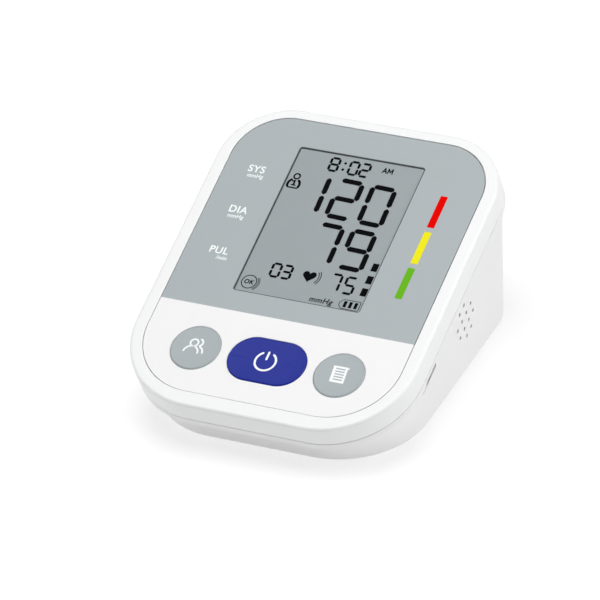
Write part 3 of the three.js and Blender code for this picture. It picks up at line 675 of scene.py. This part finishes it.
def heart(x, y, size, steps=40):
    """Heart outline of a given half width."""
    made = []
    for i in range(steps):
        t = 2 * pi * i / steps
        made.append((
            x + size * sin(t) ** 3,
            y + size * (13 * cos(t) - 5 * cos(2 * t) - 2 * cos(3 * t) - cos(4 * t)) / 16,
        ))
    return made


def display_icons():
    """Solid heart and the sign of the first user."""
    bm = bmesh.new()
    prism(bm, heart(0.85, -4.9, 2.65), INK_LOW, INK_HIGH)
    add_stroke(bm, [(-21.8, 34.2), (-21.1, 34.75), (-21.05, 32.6)], 0.75, INK_LOW, INK_HIGH)
    add_stroke(bm, [(-21.8, 32.5), (-20.3, 32.45)], 0.55, INK_LOW, INK_HIGH)
    add_loop(bm, arc(-21.1, 36.5, 1.15, 0, 345, 23), 0.62, INK_LOW, INK_HIGH)
    for start, end, x in ((205, 120, -21.65), (-25, 60, -20.55)):
        add_stroke(bm, arc(x, 32.75, 1.75, start, end, 12, 1.3), 0.95, INK_LOW, INK_HIGH)
    add_stroke(bm, [(-22.9, 31.3), (-19.2, 31.25)], 0.6, INK_LOW, INK_HIGH)
    return bm


def faint_icons():
    """Thin outlines: the confirm sign, the pulse lines and the battery."""
    bm = bmesh.new()
    line = 0.28
    add_loop(bm, arc(-20.3, -11.9, 2.85, 0, 350, 35), line + 0.1, INK_LOW, INK_HIGH)
    for radius in (3.5, 4.05):
        add_stroke(bm, arc(-20.3, -11.9, radius, 35, -50), line, INK_LOW, INK_HIGH)
    for radius in (3.9, 4.7):
        add_stroke(bm, arc(0.6, -4.9, radius, 32, -38), line + 0.08, INK_LOW, INK_HIGH)
    body = [(17.6, -11.95), (16.9, -12.6), (16.9, -13.0), (16.4, -13.1), (16.4, -14.7), (16.9, -14.8),
            (16.9, -15.2), (17.6, -15.85), (24.0, -15.9), (24.35, -15.5), (24.35, -12.3), (24.0, -11.9)]
    add_loop(bm, list(reversed(body)), line, INK_LOW, INK_HIGH)
    return bm


def lettering(name, text, x, y, height, place, finish, low, high, spacing=1.0, weight=0.0,
              slant=0.0):
    """Raised generic lettering in Blender's own plain face; height is that of a capital, in mm."""
    capital = 0.729
    curve = bpy.data.curves.new(name, "FONT")
    curve.body = text
    curve.size = height / capital
    curve.shear = slant
    curve.space_character = spacing
    curve.extrude = (high - low) / 2
    curve.offset = weight
    curve.resolution_u = 6
    bm = moved(mesh_of_curve(curve), Matrix.Translation((x, y, (low + high) / 2)))
    return piece(name, bm, place, finish)


def morning_sign():
    """The letters AM, each leg a short stroke."""
    bm = bmesh.new()
    left, foot, tall = 9.8, 44.55, 2.0
    legs = (
        (0, 0, 0.75, 1), (0.75, 1, 1.5, 0), (0.3, 0.33, 1.2, 0.33),
        (2.05, 0, 2.15, 1), (2.15, 1, 2.95, 0.25), (2.95, 0.25, 3.75, 1), (3.75, 1, 3.85, 0),
    )
    for x0, y0, x1, y1 in legs:
        ends = [(left + x0, foot + tall * y0), (left + x1, foot + tall * y1)]
        add_stroke(bm, ends, 0.48, INK_LOW, INK_HIGH)
    return bm


piece("display_morning", morning_sign, ON_GLASS, INK)
piece("display_readings", readings, ON_GLASS, INK)
piece("display_icons", display_icons, ON_GLASS, INK)
piece("display_outlines", faint_icons, ON_GLASS, INK_FAINT)
for name, text, x, y, height, weight, slant in (
    ("display_unit", "mmHg", 4.7, -15.25, 2.35, 0.06, 0.12),
    ("display_confirm", "OK", -22.25, -12.75, 1.8, 0.075, 0.1),
):
    lettering(name, text, x, y, height, ON_GLASS, INK, INK_LOW, INK_HIGH,
              spacing=1.08, weight=weight, slant=slant)

# ------------------------------------------------------------------ printed marks

PRINT_LOW, PRINT_HIGH = FILM_TOP - 0.01, FILM_TOP + 0.03
BAR_LEFT, BAR_RIGHT = 35.35, 38.15
for name, low, high, finish in (
    ("bar_high", 24.7, 39.0, BAR_RED),
    ("bar_raised", 8.35, 22.65, BAR_YELLOW),
    ("bar_normal", -7.4, 6.3, BAR_GREEN),
):
    outline = ((BAR_RIGHT - BAR_LEFT) / 2, low, high, 0.15, 0.15)
    shift = Matrix.Translation(((BAR_RIGHT + BAR_LEFT) / 2, 0, 0))
    bar = lofted(level(outline, 0, PRINT_LOW, 3), level(outline, 0, PRINT_HIGH, 3))
    piece(name, moved(bar, shift), DECK, finish)

for name, text, unit, y, unit_x in (
    ("label_systolic", "SYS", "mmHg", 35.2, -40.2),
    ("label_diastolic", "DIA", "mmHg", 16.4, -40.3),
    ("label_pulse", "PUL", "/min", -2.3, -36.9),
):
    lettering(name, text, -40.9, y, 3.1, DECK, PRINT_WHITE, PRINT_LOW, PRINT_HIGH,
              spacing=1.08, weight=0.08)
    lettering(name + "_unit", unit, unit_x, y - 2.45, 1.7, DECK, PRINT_WHITE, PRINT_LOW, PRINT_HIGH,
              spacing=1.05, weight=0.04)

# ------------------------------------------------------------------ keys

KEY_TOP = 0.12
KEY_DISH = 0.1


def key_height(share):
    """Height of the dished top at a share of the key's half width."""
    return KEY_TOP - KEY_DISH * max(0.0, 1 - share * share)


def key_cap(half_length):
    """Hollow cap with a skirt that holds it in, a rounded edge and a dished top."""
    outline = (half_length, -KEY_RADIUS, KEY_RADIUS, KEY_RADIUS, KEY_RADIUS)
    skirt_under, skirt_top, hollow = -4.35, -3.55, -2.2
    edge = 0.75
    rings = [
        level(outline, 1.4, hollow), level(outline, 1.4, skirt_under),
        level(outline, -1.35, skirt_under), level(outline, -1.35, skirt_top),
        level(outline, 0, skirt_top),
        level(outline, 0, FILM_TOP - 0.03), level(outline, 0.05, FILM_TOP + 0.03),
        level(outline, 0.36, KEY_TOP + 0.04), level(outline, 0.46, KEY_TOP + 0.11),
        level(outline, 0.58, KEY_TOP + 0.11), level(outline, 0.72, KEY_TOP + 0.01),
    ]
    for i in range(9):
        inset = edge + (KEY_RADIUS - edge - 0.3) * i / 8
        rings.append(level(outline, inset, key_height(1 - (inset - edge) / (KEY_RADIUS - edge))))
    return lofted(*rings)


def key_icon(bm, half_length):
    """Lays a flat icon's mesh on the dished top of its key."""
    for vert in bm.verts:
        across = abs(vert.co.y)
        beyond = max(0.0, abs(vert.co.x) - (half_length - KEY_RADIUS))
        share = min(1.0, (across * across + beyond * beyond) ** 0.5 / KEY_RADIUS)
        vert.co.z += key_height(share)
    return bm


ICON_LOW, ICON_HIGH = -0.02, 0.035


def users_icon():
    bm = bmesh.new()
    line = 0.68
    add_loop(bm, arc(-1.2, 1.9, 1.5, 0, 345, 23), line, ICON_LOW, ICON_HIGH)
    add_stroke(bm, arc(-1.2, -2.3, 2.75, 177, 3, 28, 1.0), line, ICON_LOW, ICON_HIGH)
    add_stroke(bm, arc(0.55, 2.3, 1.5, 75, -60, 14), line, ICON_LOW, ICON_HIGH)
    add_stroke(bm, arc(0.55, -2.0, 2.75, 68, 3, 14), line, ICON_LOW, ICON_HIGH)
    return key_icon(bm, KEY_RADIUS)


def power_icon():
    bm = bmesh.new()
    line = 0.8
    add_stroke(bm, arc(-0.5, -0.2, 3.9, 90 - 33, -270 + 33, 48), line, ICON_LOW, ICON_HIGH)
    add_stroke(bm, [(-0.5, 3.8), (-0.5, 2.2), (-0.5, 0.75)], line, ICON_LOW, ICON_HIGH)
    return key_icon(bm, POWER_HALF)


def notes_icon():
    """White page with ruled lines left open."""
    bm = bmesh.new()
    left, right, top, under = -3.3, 2.2, 3.7, -3.2
    rows, rule, margin = 5, 0.55, 1.05
    right_margin = margin * 0.75
    pitch = 1.14
    first = top - 1.1
    lean = -0.09
    edges = [top]
    for i in range(rows):
        edges += [first - i * pitch + rule / 2, first - i * pitch - rule / 2]
    edges.append(under)

    def quad(x0, x1, y0, y1):
        """Leaning rectangle of the page."""
        shift_low, shift_high = lean * (top - y0), lean * (top - y1)
        corners = [
            (x0 - shift_low, y0), (x1 - shift_low, y0), (x1 - shift_high, y1), (x0 - shift_high, y1),
        ]
        prism(bm, corners, ICON_LOW, ICON_HIGH)

    quad(left, left + margin, under, top)
    quad(right - right_margin, right, under, top)
    for high, low in zip(edges[::2], edges[1::2]):
        quad(left + margin, right - right_margin, low, high)
    prism(bm, [(right, top - 1.2), (right + 0.75, top - 0.35), (right + 0.1, top)], ICON_LOW, ICON_HIGH)
    return key_icon(bm, KEY_RADIUS)


for name, x, half, finish, slot, body, icon in (
    ("user", -KEY_X, KEY_RADIUS, KEY_GREY, "key_grey", "user_key", users_icon),
    ("power", 0.0, POWER_HALF, KEY_BLUE, "key_blue", "power_key", power_icon),
    ("memory", KEY_X, KEY_RADIUS, KEY_GREY, "key_grey", "memory_key", notes_icon),
):
    seat = DECK @ Matrix.Translation((x, KEY_Y, 0))
    piece(name + "_key_cap", key_cap(half), seat, finish, body, [name + "_button"])
    piece(name + "_key_icon", icon, seat, PRINT_WHITE, body)

# ------------------------------------------------------------------ lower case

PORT = {"y": -26.9, "half": 7.1, "top": -10.6, "under": -18.75, "floor": 49.8, "round": 1.5}
PORT_BLOCK = {"inner": 48.2, "outer": 51.9, "half": 8.9, "under": -20}
JACK = {"back": 40.5, "face": 50.4, "half": 6.5, "top": -10.9, "under": -17.3}
JACK_BORE = {"radius": 2.7, "depth": 8, "pin_base": 8.1, "opening_x": 47}
SPEAKER = {"x": 51.4, "y": 12.9, "z": 20.9, "pitch": 4.25, "columns": 4, "radius": 0.75}
SOCKET = {"x": -52.9, "y": 12.0, "z": 24.0}
SOCKET_HOLE = 5.3
BAY = {"x": 30.2, "front": -29.5, "back": 27.5, "roof": 18.2, "wall": 1.8}
DOOR = {"x": 32.0, "front": -30.6, "back": 33.5, "under": 0.15, "top": 2.15}
DOOR_AXIS = (-29.6, 1.15)
DOOR_RECESS = 2.45
DOOR_PIN = {"radius": 0.8, "reach": 1.8, "bore": 1.1, "bore_half": 34.3}
SNAP = {"block_half": 8, "block_top": 8.5, "pocket_half": 6.2, "pocket_front": 30, "pocket_top": 7}
CASE_SCREWS = ((-43.5, -46, -12.6), (43.5, -46, -12.6), (-43.5, 24, -34), (43.5, 24, -34))
FEET = ((-31, -43), (31, -43), (-31, 41.5), (31, 41.5))
PILLAR = {"radius": 4.4, "foot": 0.6, "counterbore": 3.5, "seat": 7.5, "bore": 1.85}
FOOT_RADIUS = 5.0
GAP = 0.3
BELOW = -1
FAR_BELOW = -80


def body_ring(outline_deck, z, inset, steps=CORNER_STEPS):
    return [DECK_IN_CASE @ p for p in level(outline_deck, inset, z, steps)]


def foot_rings(inset, turns):
    """Rings that round the wedge's foot, each direction with its own radius."""
    rings = []
    for turn in turns:
        angle = radians(turn)
        points = []
        for x, y, nx, ny in ring(BODY_FOOT, inset):
            along = FOOT_ROUNDING["front"] if ny < 0 else FOOT_ROUNDING["back"]
            radius = max(FOOT_ROUNDING["side"] * nx * nx + along * ny * ny - inset, 0.4)
            back = radius * (1 - cos(angle))
            points.append(Vector((x - nx * back, y - ny * back, inset + radius * (1 - sin(angle)))))
        rings.append(points)
    return rings


def between(low, high, shares):
    return [[a.lerp(b, share) for a, b in zip(low, high)] for share in shares]


def lower_shell():
    """Wedge body with a flange under the seam, a lip inside it and a rounded foot."""
    flange_top, flange_under, flange_round = SEAM - 0.02, -12.0, 0.5
    lip_top = -7.6
    groove_edge = SEAM - SEAM_EDGE
    turns = list(range(0, 91, 9))
    outer_foot = foot_rings(0, turns)
    inner_foot = foot_rings(WALL, turns)
    neck = body_ring(BODY_TOP, flange_under - 0.25, 0)
    inner_neck = body_ring(BODY_TOP, flange_under - 3, WALL)
    on_deck = [
        level(SLAB, WALL + 1.7, lip_top),
        level(SLAB, WALL + GAP, lip_top),
        level(SLAB, WALL + GAP, flange_top),
        level(SLAB, SEAM_DEPTH, flange_top),
        level(SLAB, SEAM_DEPTH, groove_edge),
        *reversed(fillet(SLAB, SEAM_EDGE, groove_edge - SEAM_EDGE, groove_edge, steps=3)),
        *fillet(SLAB, flange_round, flange_under + flange_round, flange_under, steps=6),
        level(BODY_TOP, -0.25, flange_under),
        level(BODY_TOP, -0.07, flange_under - 0.07),
    ]
    rings = [[DECK_IN_CASE @ p for p in points] for points in on_deck]
    rings += [neck, *between(neck, outer_foot[0], (0.25, 0.5, 0.75)), *outer_foot]
    rings += [*reversed(inner_foot), inner_neck]
    shell = bmesh.new()
    outer = len(rings) - len(inner_foot) - 1
    rows = loft(shell, rings[:outer], cap_first=False, cap_last=True)
    inner = loft(shell, rings[outer:], cap_first=True, cap_last=False)
    last, first = inner[-1], rows[0]
    for i in range(len(first)):
        j = (i + 1) % len(first)
        shell.faces.new((last[i], last[j], first[j], first[i]))
    return carve(shell, cutters=case_cutters(), additions=case_additions())


def deck_box(low, high):
    return moved(box_mesh(low, high), DECK_IN_CASE)


def deck_post(x, y, low, high, radius, sides=40):
    return moved(cylinder(x, y, low, high, radius, sides), DECK_IN_CASE)


def along_x(bm, x, y, z):
    """Turns a piece made about Z so that its axis points along +X from (x, y, z)."""
    return moved(bm, Matrix.Translation((x, y, z)) @ Matrix.Rotation(pi / 2, 4, "Y"))


def side_plate(outline, low_x, high_x):
    """Plate across X with its outline in the deck's Y and Z."""
    plate = lofted(level(outline, 0, low_x, 8), level(outline, 0, high_x, 8))
    across = Matrix(((0, 0, 1, 0), (1, 0, 0, PORT["y"]), (0, 1, 0, 0), (0, 0, 0, 1)))
    return moved(plate, DECK_IN_CASE @ across)


def screw_pillar(x, y, split):
    """Pillar along the deck's axis whose lower end is cut level just above the case's bottom."""
    top = [DECK_IN_CASE @ point for point in disc(x, y, PILLAR["radius"], split)]
    axis = (DECK_IN_CASE.to_3x3() @ Vector((0, 0, 1))).normalized()
    under = [point - axis * (point.z - PILLAR["foot"]) / axis.z for point in top]
    return lofted(under, top)


def case_additions():
    """Door surround, battery bay, snap block, port block, screw pillars and foot seats."""
    thick = BAY["wall"]
    port_block = deck_box(
        (PORT_BLOCK["inner"], PORT["y"] - PORT_BLOCK["half"], PORT_BLOCK["under"]),
        (PORT_BLOCK["outer"], PORT["y"] + PORT_BLOCK["half"], SEAM - 0.4),
    )
    return [
        box_mesh((-35.5, -34.2, 0.3), (35.5, 37, 4.4)),
        box_mesh(
            (-BAY["x"] - thick, BAY["front"] - thick, 0.35),
            (BAY["x"] + thick, BAY["back"] + thick, BAY["roof"] + thick),
        ),
        box_mesh(
            (-SNAP["block_half"], BAY["back"], 0.4),
            (SNAP["block_half"], DOOR["back"] + 2, SNAP["block_top"]),
        ),
        port_block,
        *[screw_pillar(*place) for place in CASE_SCREWS],
        *[cylinder(x, y, 0.45, 3.8, FOOT_RADIUS + 1.6) for x, y in FEET],
    ]


def speaker_centres():
    """Speaker holes on the right wall: a square grid without its corners, tilted like the deck."""
    middle_index = (SPEAKER["columns"] - 1) / 2
    tilt = deck_up.normalized()
    for column in range(SPEAKER["columns"]):
        for row in range(SPEAKER["columns"]):
            u, v = column - middle_index, row - middle_index
            if abs(u) == middle_index and abs(v) == middle_index:
                continue
            yield (
                SPEAKER["y"] + SPEAKER["pitch"] * (u * tilt.y - v * tilt.z),
                SPEAKER["z"] + SPEAKER["pitch"] * (u * tilt.z + v * tilt.y),
            )


def case_cutters():
    """The battery bay, the door's recess, the snap's pocket, the hinge, the ports and all holes."""
    port_half = (PORT["top"] - PORT["under"]) / 2
    port_z = (PORT["top"] + PORT["under"]) / 2
    port = (PORT["half"], port_z - port_half, port_z + port_half, PORT["round"], PORT["round"])
    jack = (JACK["half"] + GAP, JACK["under"] - GAP, PORT["top"] - 0.05, GAP, GAP)
    cutters = [
        box_mesh((-BAY["x"], BAY["front"], BELOW), (BAY["x"], BAY["back"], BAY["roof"])),
        box_mesh(
            (-DOOR["x"] - GAP, DOOR["front"] - GAP, BELOW),
            (DOOR["x"] + GAP, DOOR["back"] + GAP, DOOR_RECESS),
        ),
        box_mesh(
            (-SNAP["pocket_half"], SNAP["pocket_front"], BELOW),
            (SNAP["pocket_half"], DOOR["back"] + GAP, SNAP["pocket_top"]),
        ),
        along_x(
            cylinder(0, 0, -DOOR_PIN["bore_half"], DOOR_PIN["bore_half"], DOOR_PIN["bore"], 24),
            0, *DOOR_AXIS,
        ),
        side_plate(port, PORT["floor"], 60),
        side_plate(jack, JACK_BORE["opening_x"], PORT["floor"] + 1),
        along_x(cylinder(0, 0, -6, 6, SOCKET_HOLE, 48), SOCKET["x"], SOCKET["y"], SOCKET["z"]),
    ]
    for x, y, split in CASE_SCREWS:
        cutters.append(deck_post(x, y, FAR_BELOW, split - PILLAR["seat"], PILLAR["counterbore"]))
        cutters.append(deck_post(x, y, FAR_BELOW, split + 1, PILLAR["bore"]))
    for x, y in FEET:
        cutters.append(cylinder(x, y, BELOW, 1.5, FOOT_RADIUS + GAP))
    for y, z in speaker_centres():
        cutters.append(along_x(cylinder(0, 0, -4, 4, SPEAKER["radius"], 20), SPEAKER["x"], y, z))
    return cutters


# The lower shell's plastic is painted a little darker than the upper case's, as shade.
piece("lower_shell", lower_shell, CASE, PLASTIC_BODY_SHADED, replaces=["lower_case"],
      sharp=28)

# ------------------------------------------------------------------ door, feet, sockets and cells


def battery_door():
    """Leaf with softened edges, a ribbed thumb recess, an arrow, a hinge edge with pins and a snap."""
    half, front, back = DOOR["x"], DOOR_AXIS[0], DOOR["back"]
    leaf_outline = (half, front, back, 0.3, 1.6)
    edge_steps = ((0, DOOR["top"]), (0, 0.75), (0.12, 0.38), (0.5, DOOR["under"]))
    leaf = lofted(*[level(leaf_outline, inset, z, 6) for inset, z in edge_steps])
    thumb_outline = (9, 22.5, 28.5, 3, 3)
    thumb = lofted(
        level(thumb_outline, 0, BELOW), level(thumb_outline, 0, DOOR["under"]),
        level(thumb_outline, 0.7, DOOR["under"] + 0.8),
    )
    rib_half, rib_low = 0.3, DOOR["under"] + 0.05
    ribs = [
        box_mesh((-5.5, y - rib_half, rib_low), (5.5, y + rib_half, 1.2)) for y in (24.2, 25.5, 26.8)
    ]
    arrow_outline = ((-2.2, 17.4), (2.2, 17.4), (0, 20.2))
    arrow = lofted(*[
        [Vector((x, y, z)) for x, y in arrow_outline] for z in (BELOW, DOOR["under"] + 0.35)
    ])
    edge = along_x(cylinder(0, 0, -half, half, 1.0, 32), 0, *DOOR_AXIS)
    pin_half = half + DOOR_PIN["reach"]
    pins = along_x(cylinder(0, 0, -pin_half, pin_half, DOOR_PIN["radius"], 24), 0, *DOOR_AXIS)
    tongue = lofted(*[
        [Vector((x, y, z)) for x, y in ((-5.5, 31.2), (5.5, 31.2), (5.5, back_y), (-5.5, back_y))]
        for z, back_y in ((0.7, 32.4), (4.6, 32.4), (5.2, 32.9), (6.0, 32.3))
    ])
    opened = carve(leaf, cutters=[thumb, arrow])
    return carve(opened, additions=[*ribs, edge, pins, tongue])


def rubber_foot():
    """Foot with a rounded rim and a shallow dish in its underside."""
    radius, stand = FOOT_RADIUS, FOOT_STAND
    return turned([
        (0, 1.2), (radius, 1.2), (radius, -stand + 0.5), (radius - 0.15, -stand + 0.15),
        (radius - 0.5, -stand), (radius - 1.4, -stand), (radius - 1.8, -stand + 0.25),
        (0, -stand + 0.3),
    ])


def air_socket():
    """Sleeve with a rounded lip, a collar behind the wall and a spigot for its hose."""
    return turned([
        (0.8, 12), (3.3, 12), (3.3, 0.8), (3.45, 0.4), (3.8, 0.1), (4.2, 0), (4.55, 0.05),
        (4.85, 0.25), (5, 0.6), (5, 3.4), (7, 3.4), (7, 5), (4.8, 5), (4.8, 13), (1.5, 13),
        (1.5, 18.7), (1.3, 19), (0.8, 19),
    ])


def jack_housing():
    """Box-shaped housing of the power socket with a round bore and softened edges."""
    half_z = (JACK["top"] - JACK["under"]) / 2
    middle_z = (JACK["top"] + JACK["under"]) / 2
    outline = (JACK["half"], -half_z, half_z, 0.5, 0.5)
    body = lofted(
        level(outline, 0, JACK["back"], 4), level(outline, 0, JACK["face"] - 0.3, 4),
        level(outline, 0.3, JACK["face"], 4),
    )
    across = Matrix(((0, 0, 1, 0), (1, 0, 0, PORT["y"]), (0, 1, 0, middle_z), (0, 0, 0, 1)))
    bore_floor = JACK["face"] - JACK_BORE["depth"]
    bore = cylinder(0, 0, bore_floor, JACK["face"] + 1, JACK_BORE["radius"], 40)
    return moved(carve(body, cutters=[bore]), across)


def jack_pin():
    """Centre pin that stands on the floor of the bore."""
    middle_z = (JACK["top"] + JACK["under"]) / 2
    pin = turned([(0, 0), (0.9, 0), (0.9, 6.2), (0.6, 6.8), (0, 7)], 24)
    start = Matrix.Translation((JACK["face"] - JACK_BORE["pin_base"], PORT["y"], middle_z))
    return moved(pin, start @ Matrix.Rotation(pi / 2, 4, "Y"))


CELL = {"radius": 7.1, "length": 50.5, "pitch": 14.8, "y": -1.5, "z": 10.55}


def battery_cell(facing_back):
    """AA cell with a sleeve, a band round its positive end, a raised contact and a bare base."""
    radius, length = CELL["radius"], CELL["length"]
    shoulder = length - 1.2
    band = shoulder - 14
    bm = turned([
        (0, 0.15), (4.6, 0.15), (4.9, 0), (radius - 0.7, 0), (radius - 0.15, 0.25), (radius, 0.7),
        (radius, band), (radius, shoulder - 0.9), (radius - 0.3, shoulder - 0.25),
        (radius - 1, shoulder), (3.1, shoulder), (2.7, shoulder + 0.25), (2.7, length - 0.3),
        (2.4, length), (0, length),
    ])
    for face in bm.faces:
        height = face.calc_center_median().z
        bare = height < 0.1 or height > shoulder - 0.1 or (height < 0.16 and face.calc_area() < 5)
        face.material_index = 2 if bare else (1 if height > band else 0)
    turn = Matrix.Rotation(-pi / 2 if facing_back else pi / 2, 4, "X")
    return moved(bm, turn)


piece("door_leaf", battery_door, CASE, PLASTIC_BODY_SHADED, "door", ["battery_door"], sharp=28)
for number, (x, y) in enumerate(FEET, 1):
    piece(f"rubber_foot_{number}", rubber_foot, CASE @ Matrix.Translation((x, y, 0)), RUBBER_GREY,
          replaces=[f"foot_{number}"])
socket_place = Matrix.Translation([SOCKET[axis] for axis in "xyz"]) @ Matrix.Rotation(pi / 2, 4, "Y")
piece("socket_sleeve", air_socket, CASE @ socket_place, INNER_PLASTIC,
      replaces=["air_socket"])
piece("jack_housing", jack_housing, DECK, DARK_PLASTIC, replaces=["power_socket"])
piece("jack_pin", jack_pin, DECK, STEEL)
for number in range(4):
    facing_back = number % 2 == 0
    start = CELL["y"] - (1 if facing_back else -1) * CELL["length"] / 2
    cell_place = Matrix.Translation((CELL["pitch"] * (number - 1.5), start, CELL["z"]))
    piece(f"cell_{number + 1}", battery_cell(facing_back), CASE @ cell_place,
          [CELL_WRAP, CELL_BAND, STEEL], replaces=[f"battery_cell_{number + 1}"])

# ------------------------------------------------------------------ carried-over nodes

slot_of = {row["node"]: row["material_slot"] for row in frame["record"]["subparts"]}
for node, holder in frame["nodes"].items():
    finish = SLOT_MATERIALS.get(slot_of[node])
    if finish and not holder.hide_render:
        holder.data.materials.clear()
        holder.data.materials.append(finish)

# ------------------------------------------------------------------ stage, light, camera

floor_mesh = bmesh.new()
bmesh.ops.create_grid(floor_mesh, x_segments=1, y_segments=1, size=6)
floor_data = bpy.data.meshes.new("floor")
floor_mesh.to_mesh(floor_data)
floor_mesh.free()
floor = bpy.data.objects.new("floor", floor_data)
bpy.context.scene.collection.objects.link(floor)
FLOOR_WHITE = material(
    "floor_white", (0.42, 0.42, 0.42), 0.9, 0.002, 1.0, 0.0,
    Emission_Color=(1, 1, 1, 1), Emission_Strength=0.6, Specular_IOR_Level=0.0,
)
floor_data.materials.append(FLOOR_WHITE)

scene = bpy.context.scene
world = bpy.data.worlds.new("studio")
scene.world = world
world.use_nodes = True
world.node_tree.nodes["Background"].inputs["Color"].default_value = (1, 1, 1, 1)
world.node_tree.nodes["Background"].inputs["Strength"].default_value = 0.05


LIGHT_SIZE = 1.2
LIGHT_AIM = Vector((0, 0, 0.03))


def softbox(name, place, power):
    """Square area light turned to the object."""
    lamp = bpy.data.lights.new(name, "AREA")
    lamp.shape = "SQUARE"
    lamp.size = LIGHT_SIZE
    lamp.energy = power
    holder = bpy.data.objects.new(name, lamp)
    scene.collection.objects.link(holder)
    holder.location = place
    holder.rotation_euler = (LIGHT_AIM - Vector(place)).to_track_quat("-Z", "Y").to_euler()


for name, place, power in (
    ("light_top", (0, 0, 2.0), 28),
    ("light_front_left", (-0.95, -0.95, 1.6), 7.5),
    ("light_left", (-1.8, -0.2, 0.9), 6),
    ("light_right_high", (1.6, 0.6, 1.1), 12),
    ("light_right", (1.8, -0.2, 0.9), 8),
):
    softbox(name, place, power)

# The camera stands to the right of the front, above, and slightly rolled.
CAMERA = {"azimuth": 29.799, "elevation": 34.861, "roll": -7.4875, "distance": 1.87, "lens": 309.23}
AIM = Vector((-0.0126, 0.008834, 0.0195))
turn, rise = radians(CAMERA["azimuth"]), radians(CAMERA["elevation"])
away = Vector((sin(turn) * cos(rise), -cos(turn) * cos(rise), sin(rise)))
camera_data = bpy.data.cameras.new("camera")
camera_data.lens = CAMERA["lens"]
camera_data.sensor_width = 36
camera_data.clip_end = 100
camera = bpy.data.objects.new("camera", camera_data)
scene.collection.objects.link(camera)
camera.location = AIM + away * CAMERA["distance"]
camera.rotation_mode = "QUATERNION"
roll = Quaternion((0, 0, 1), radians(CAMERA["roll"]))
camera.rotation_quaternion = (-away).to_track_quat("-Z", "Y") @ roll
scene.camera = camera
scene.view_settings.view_transform = "Standard"
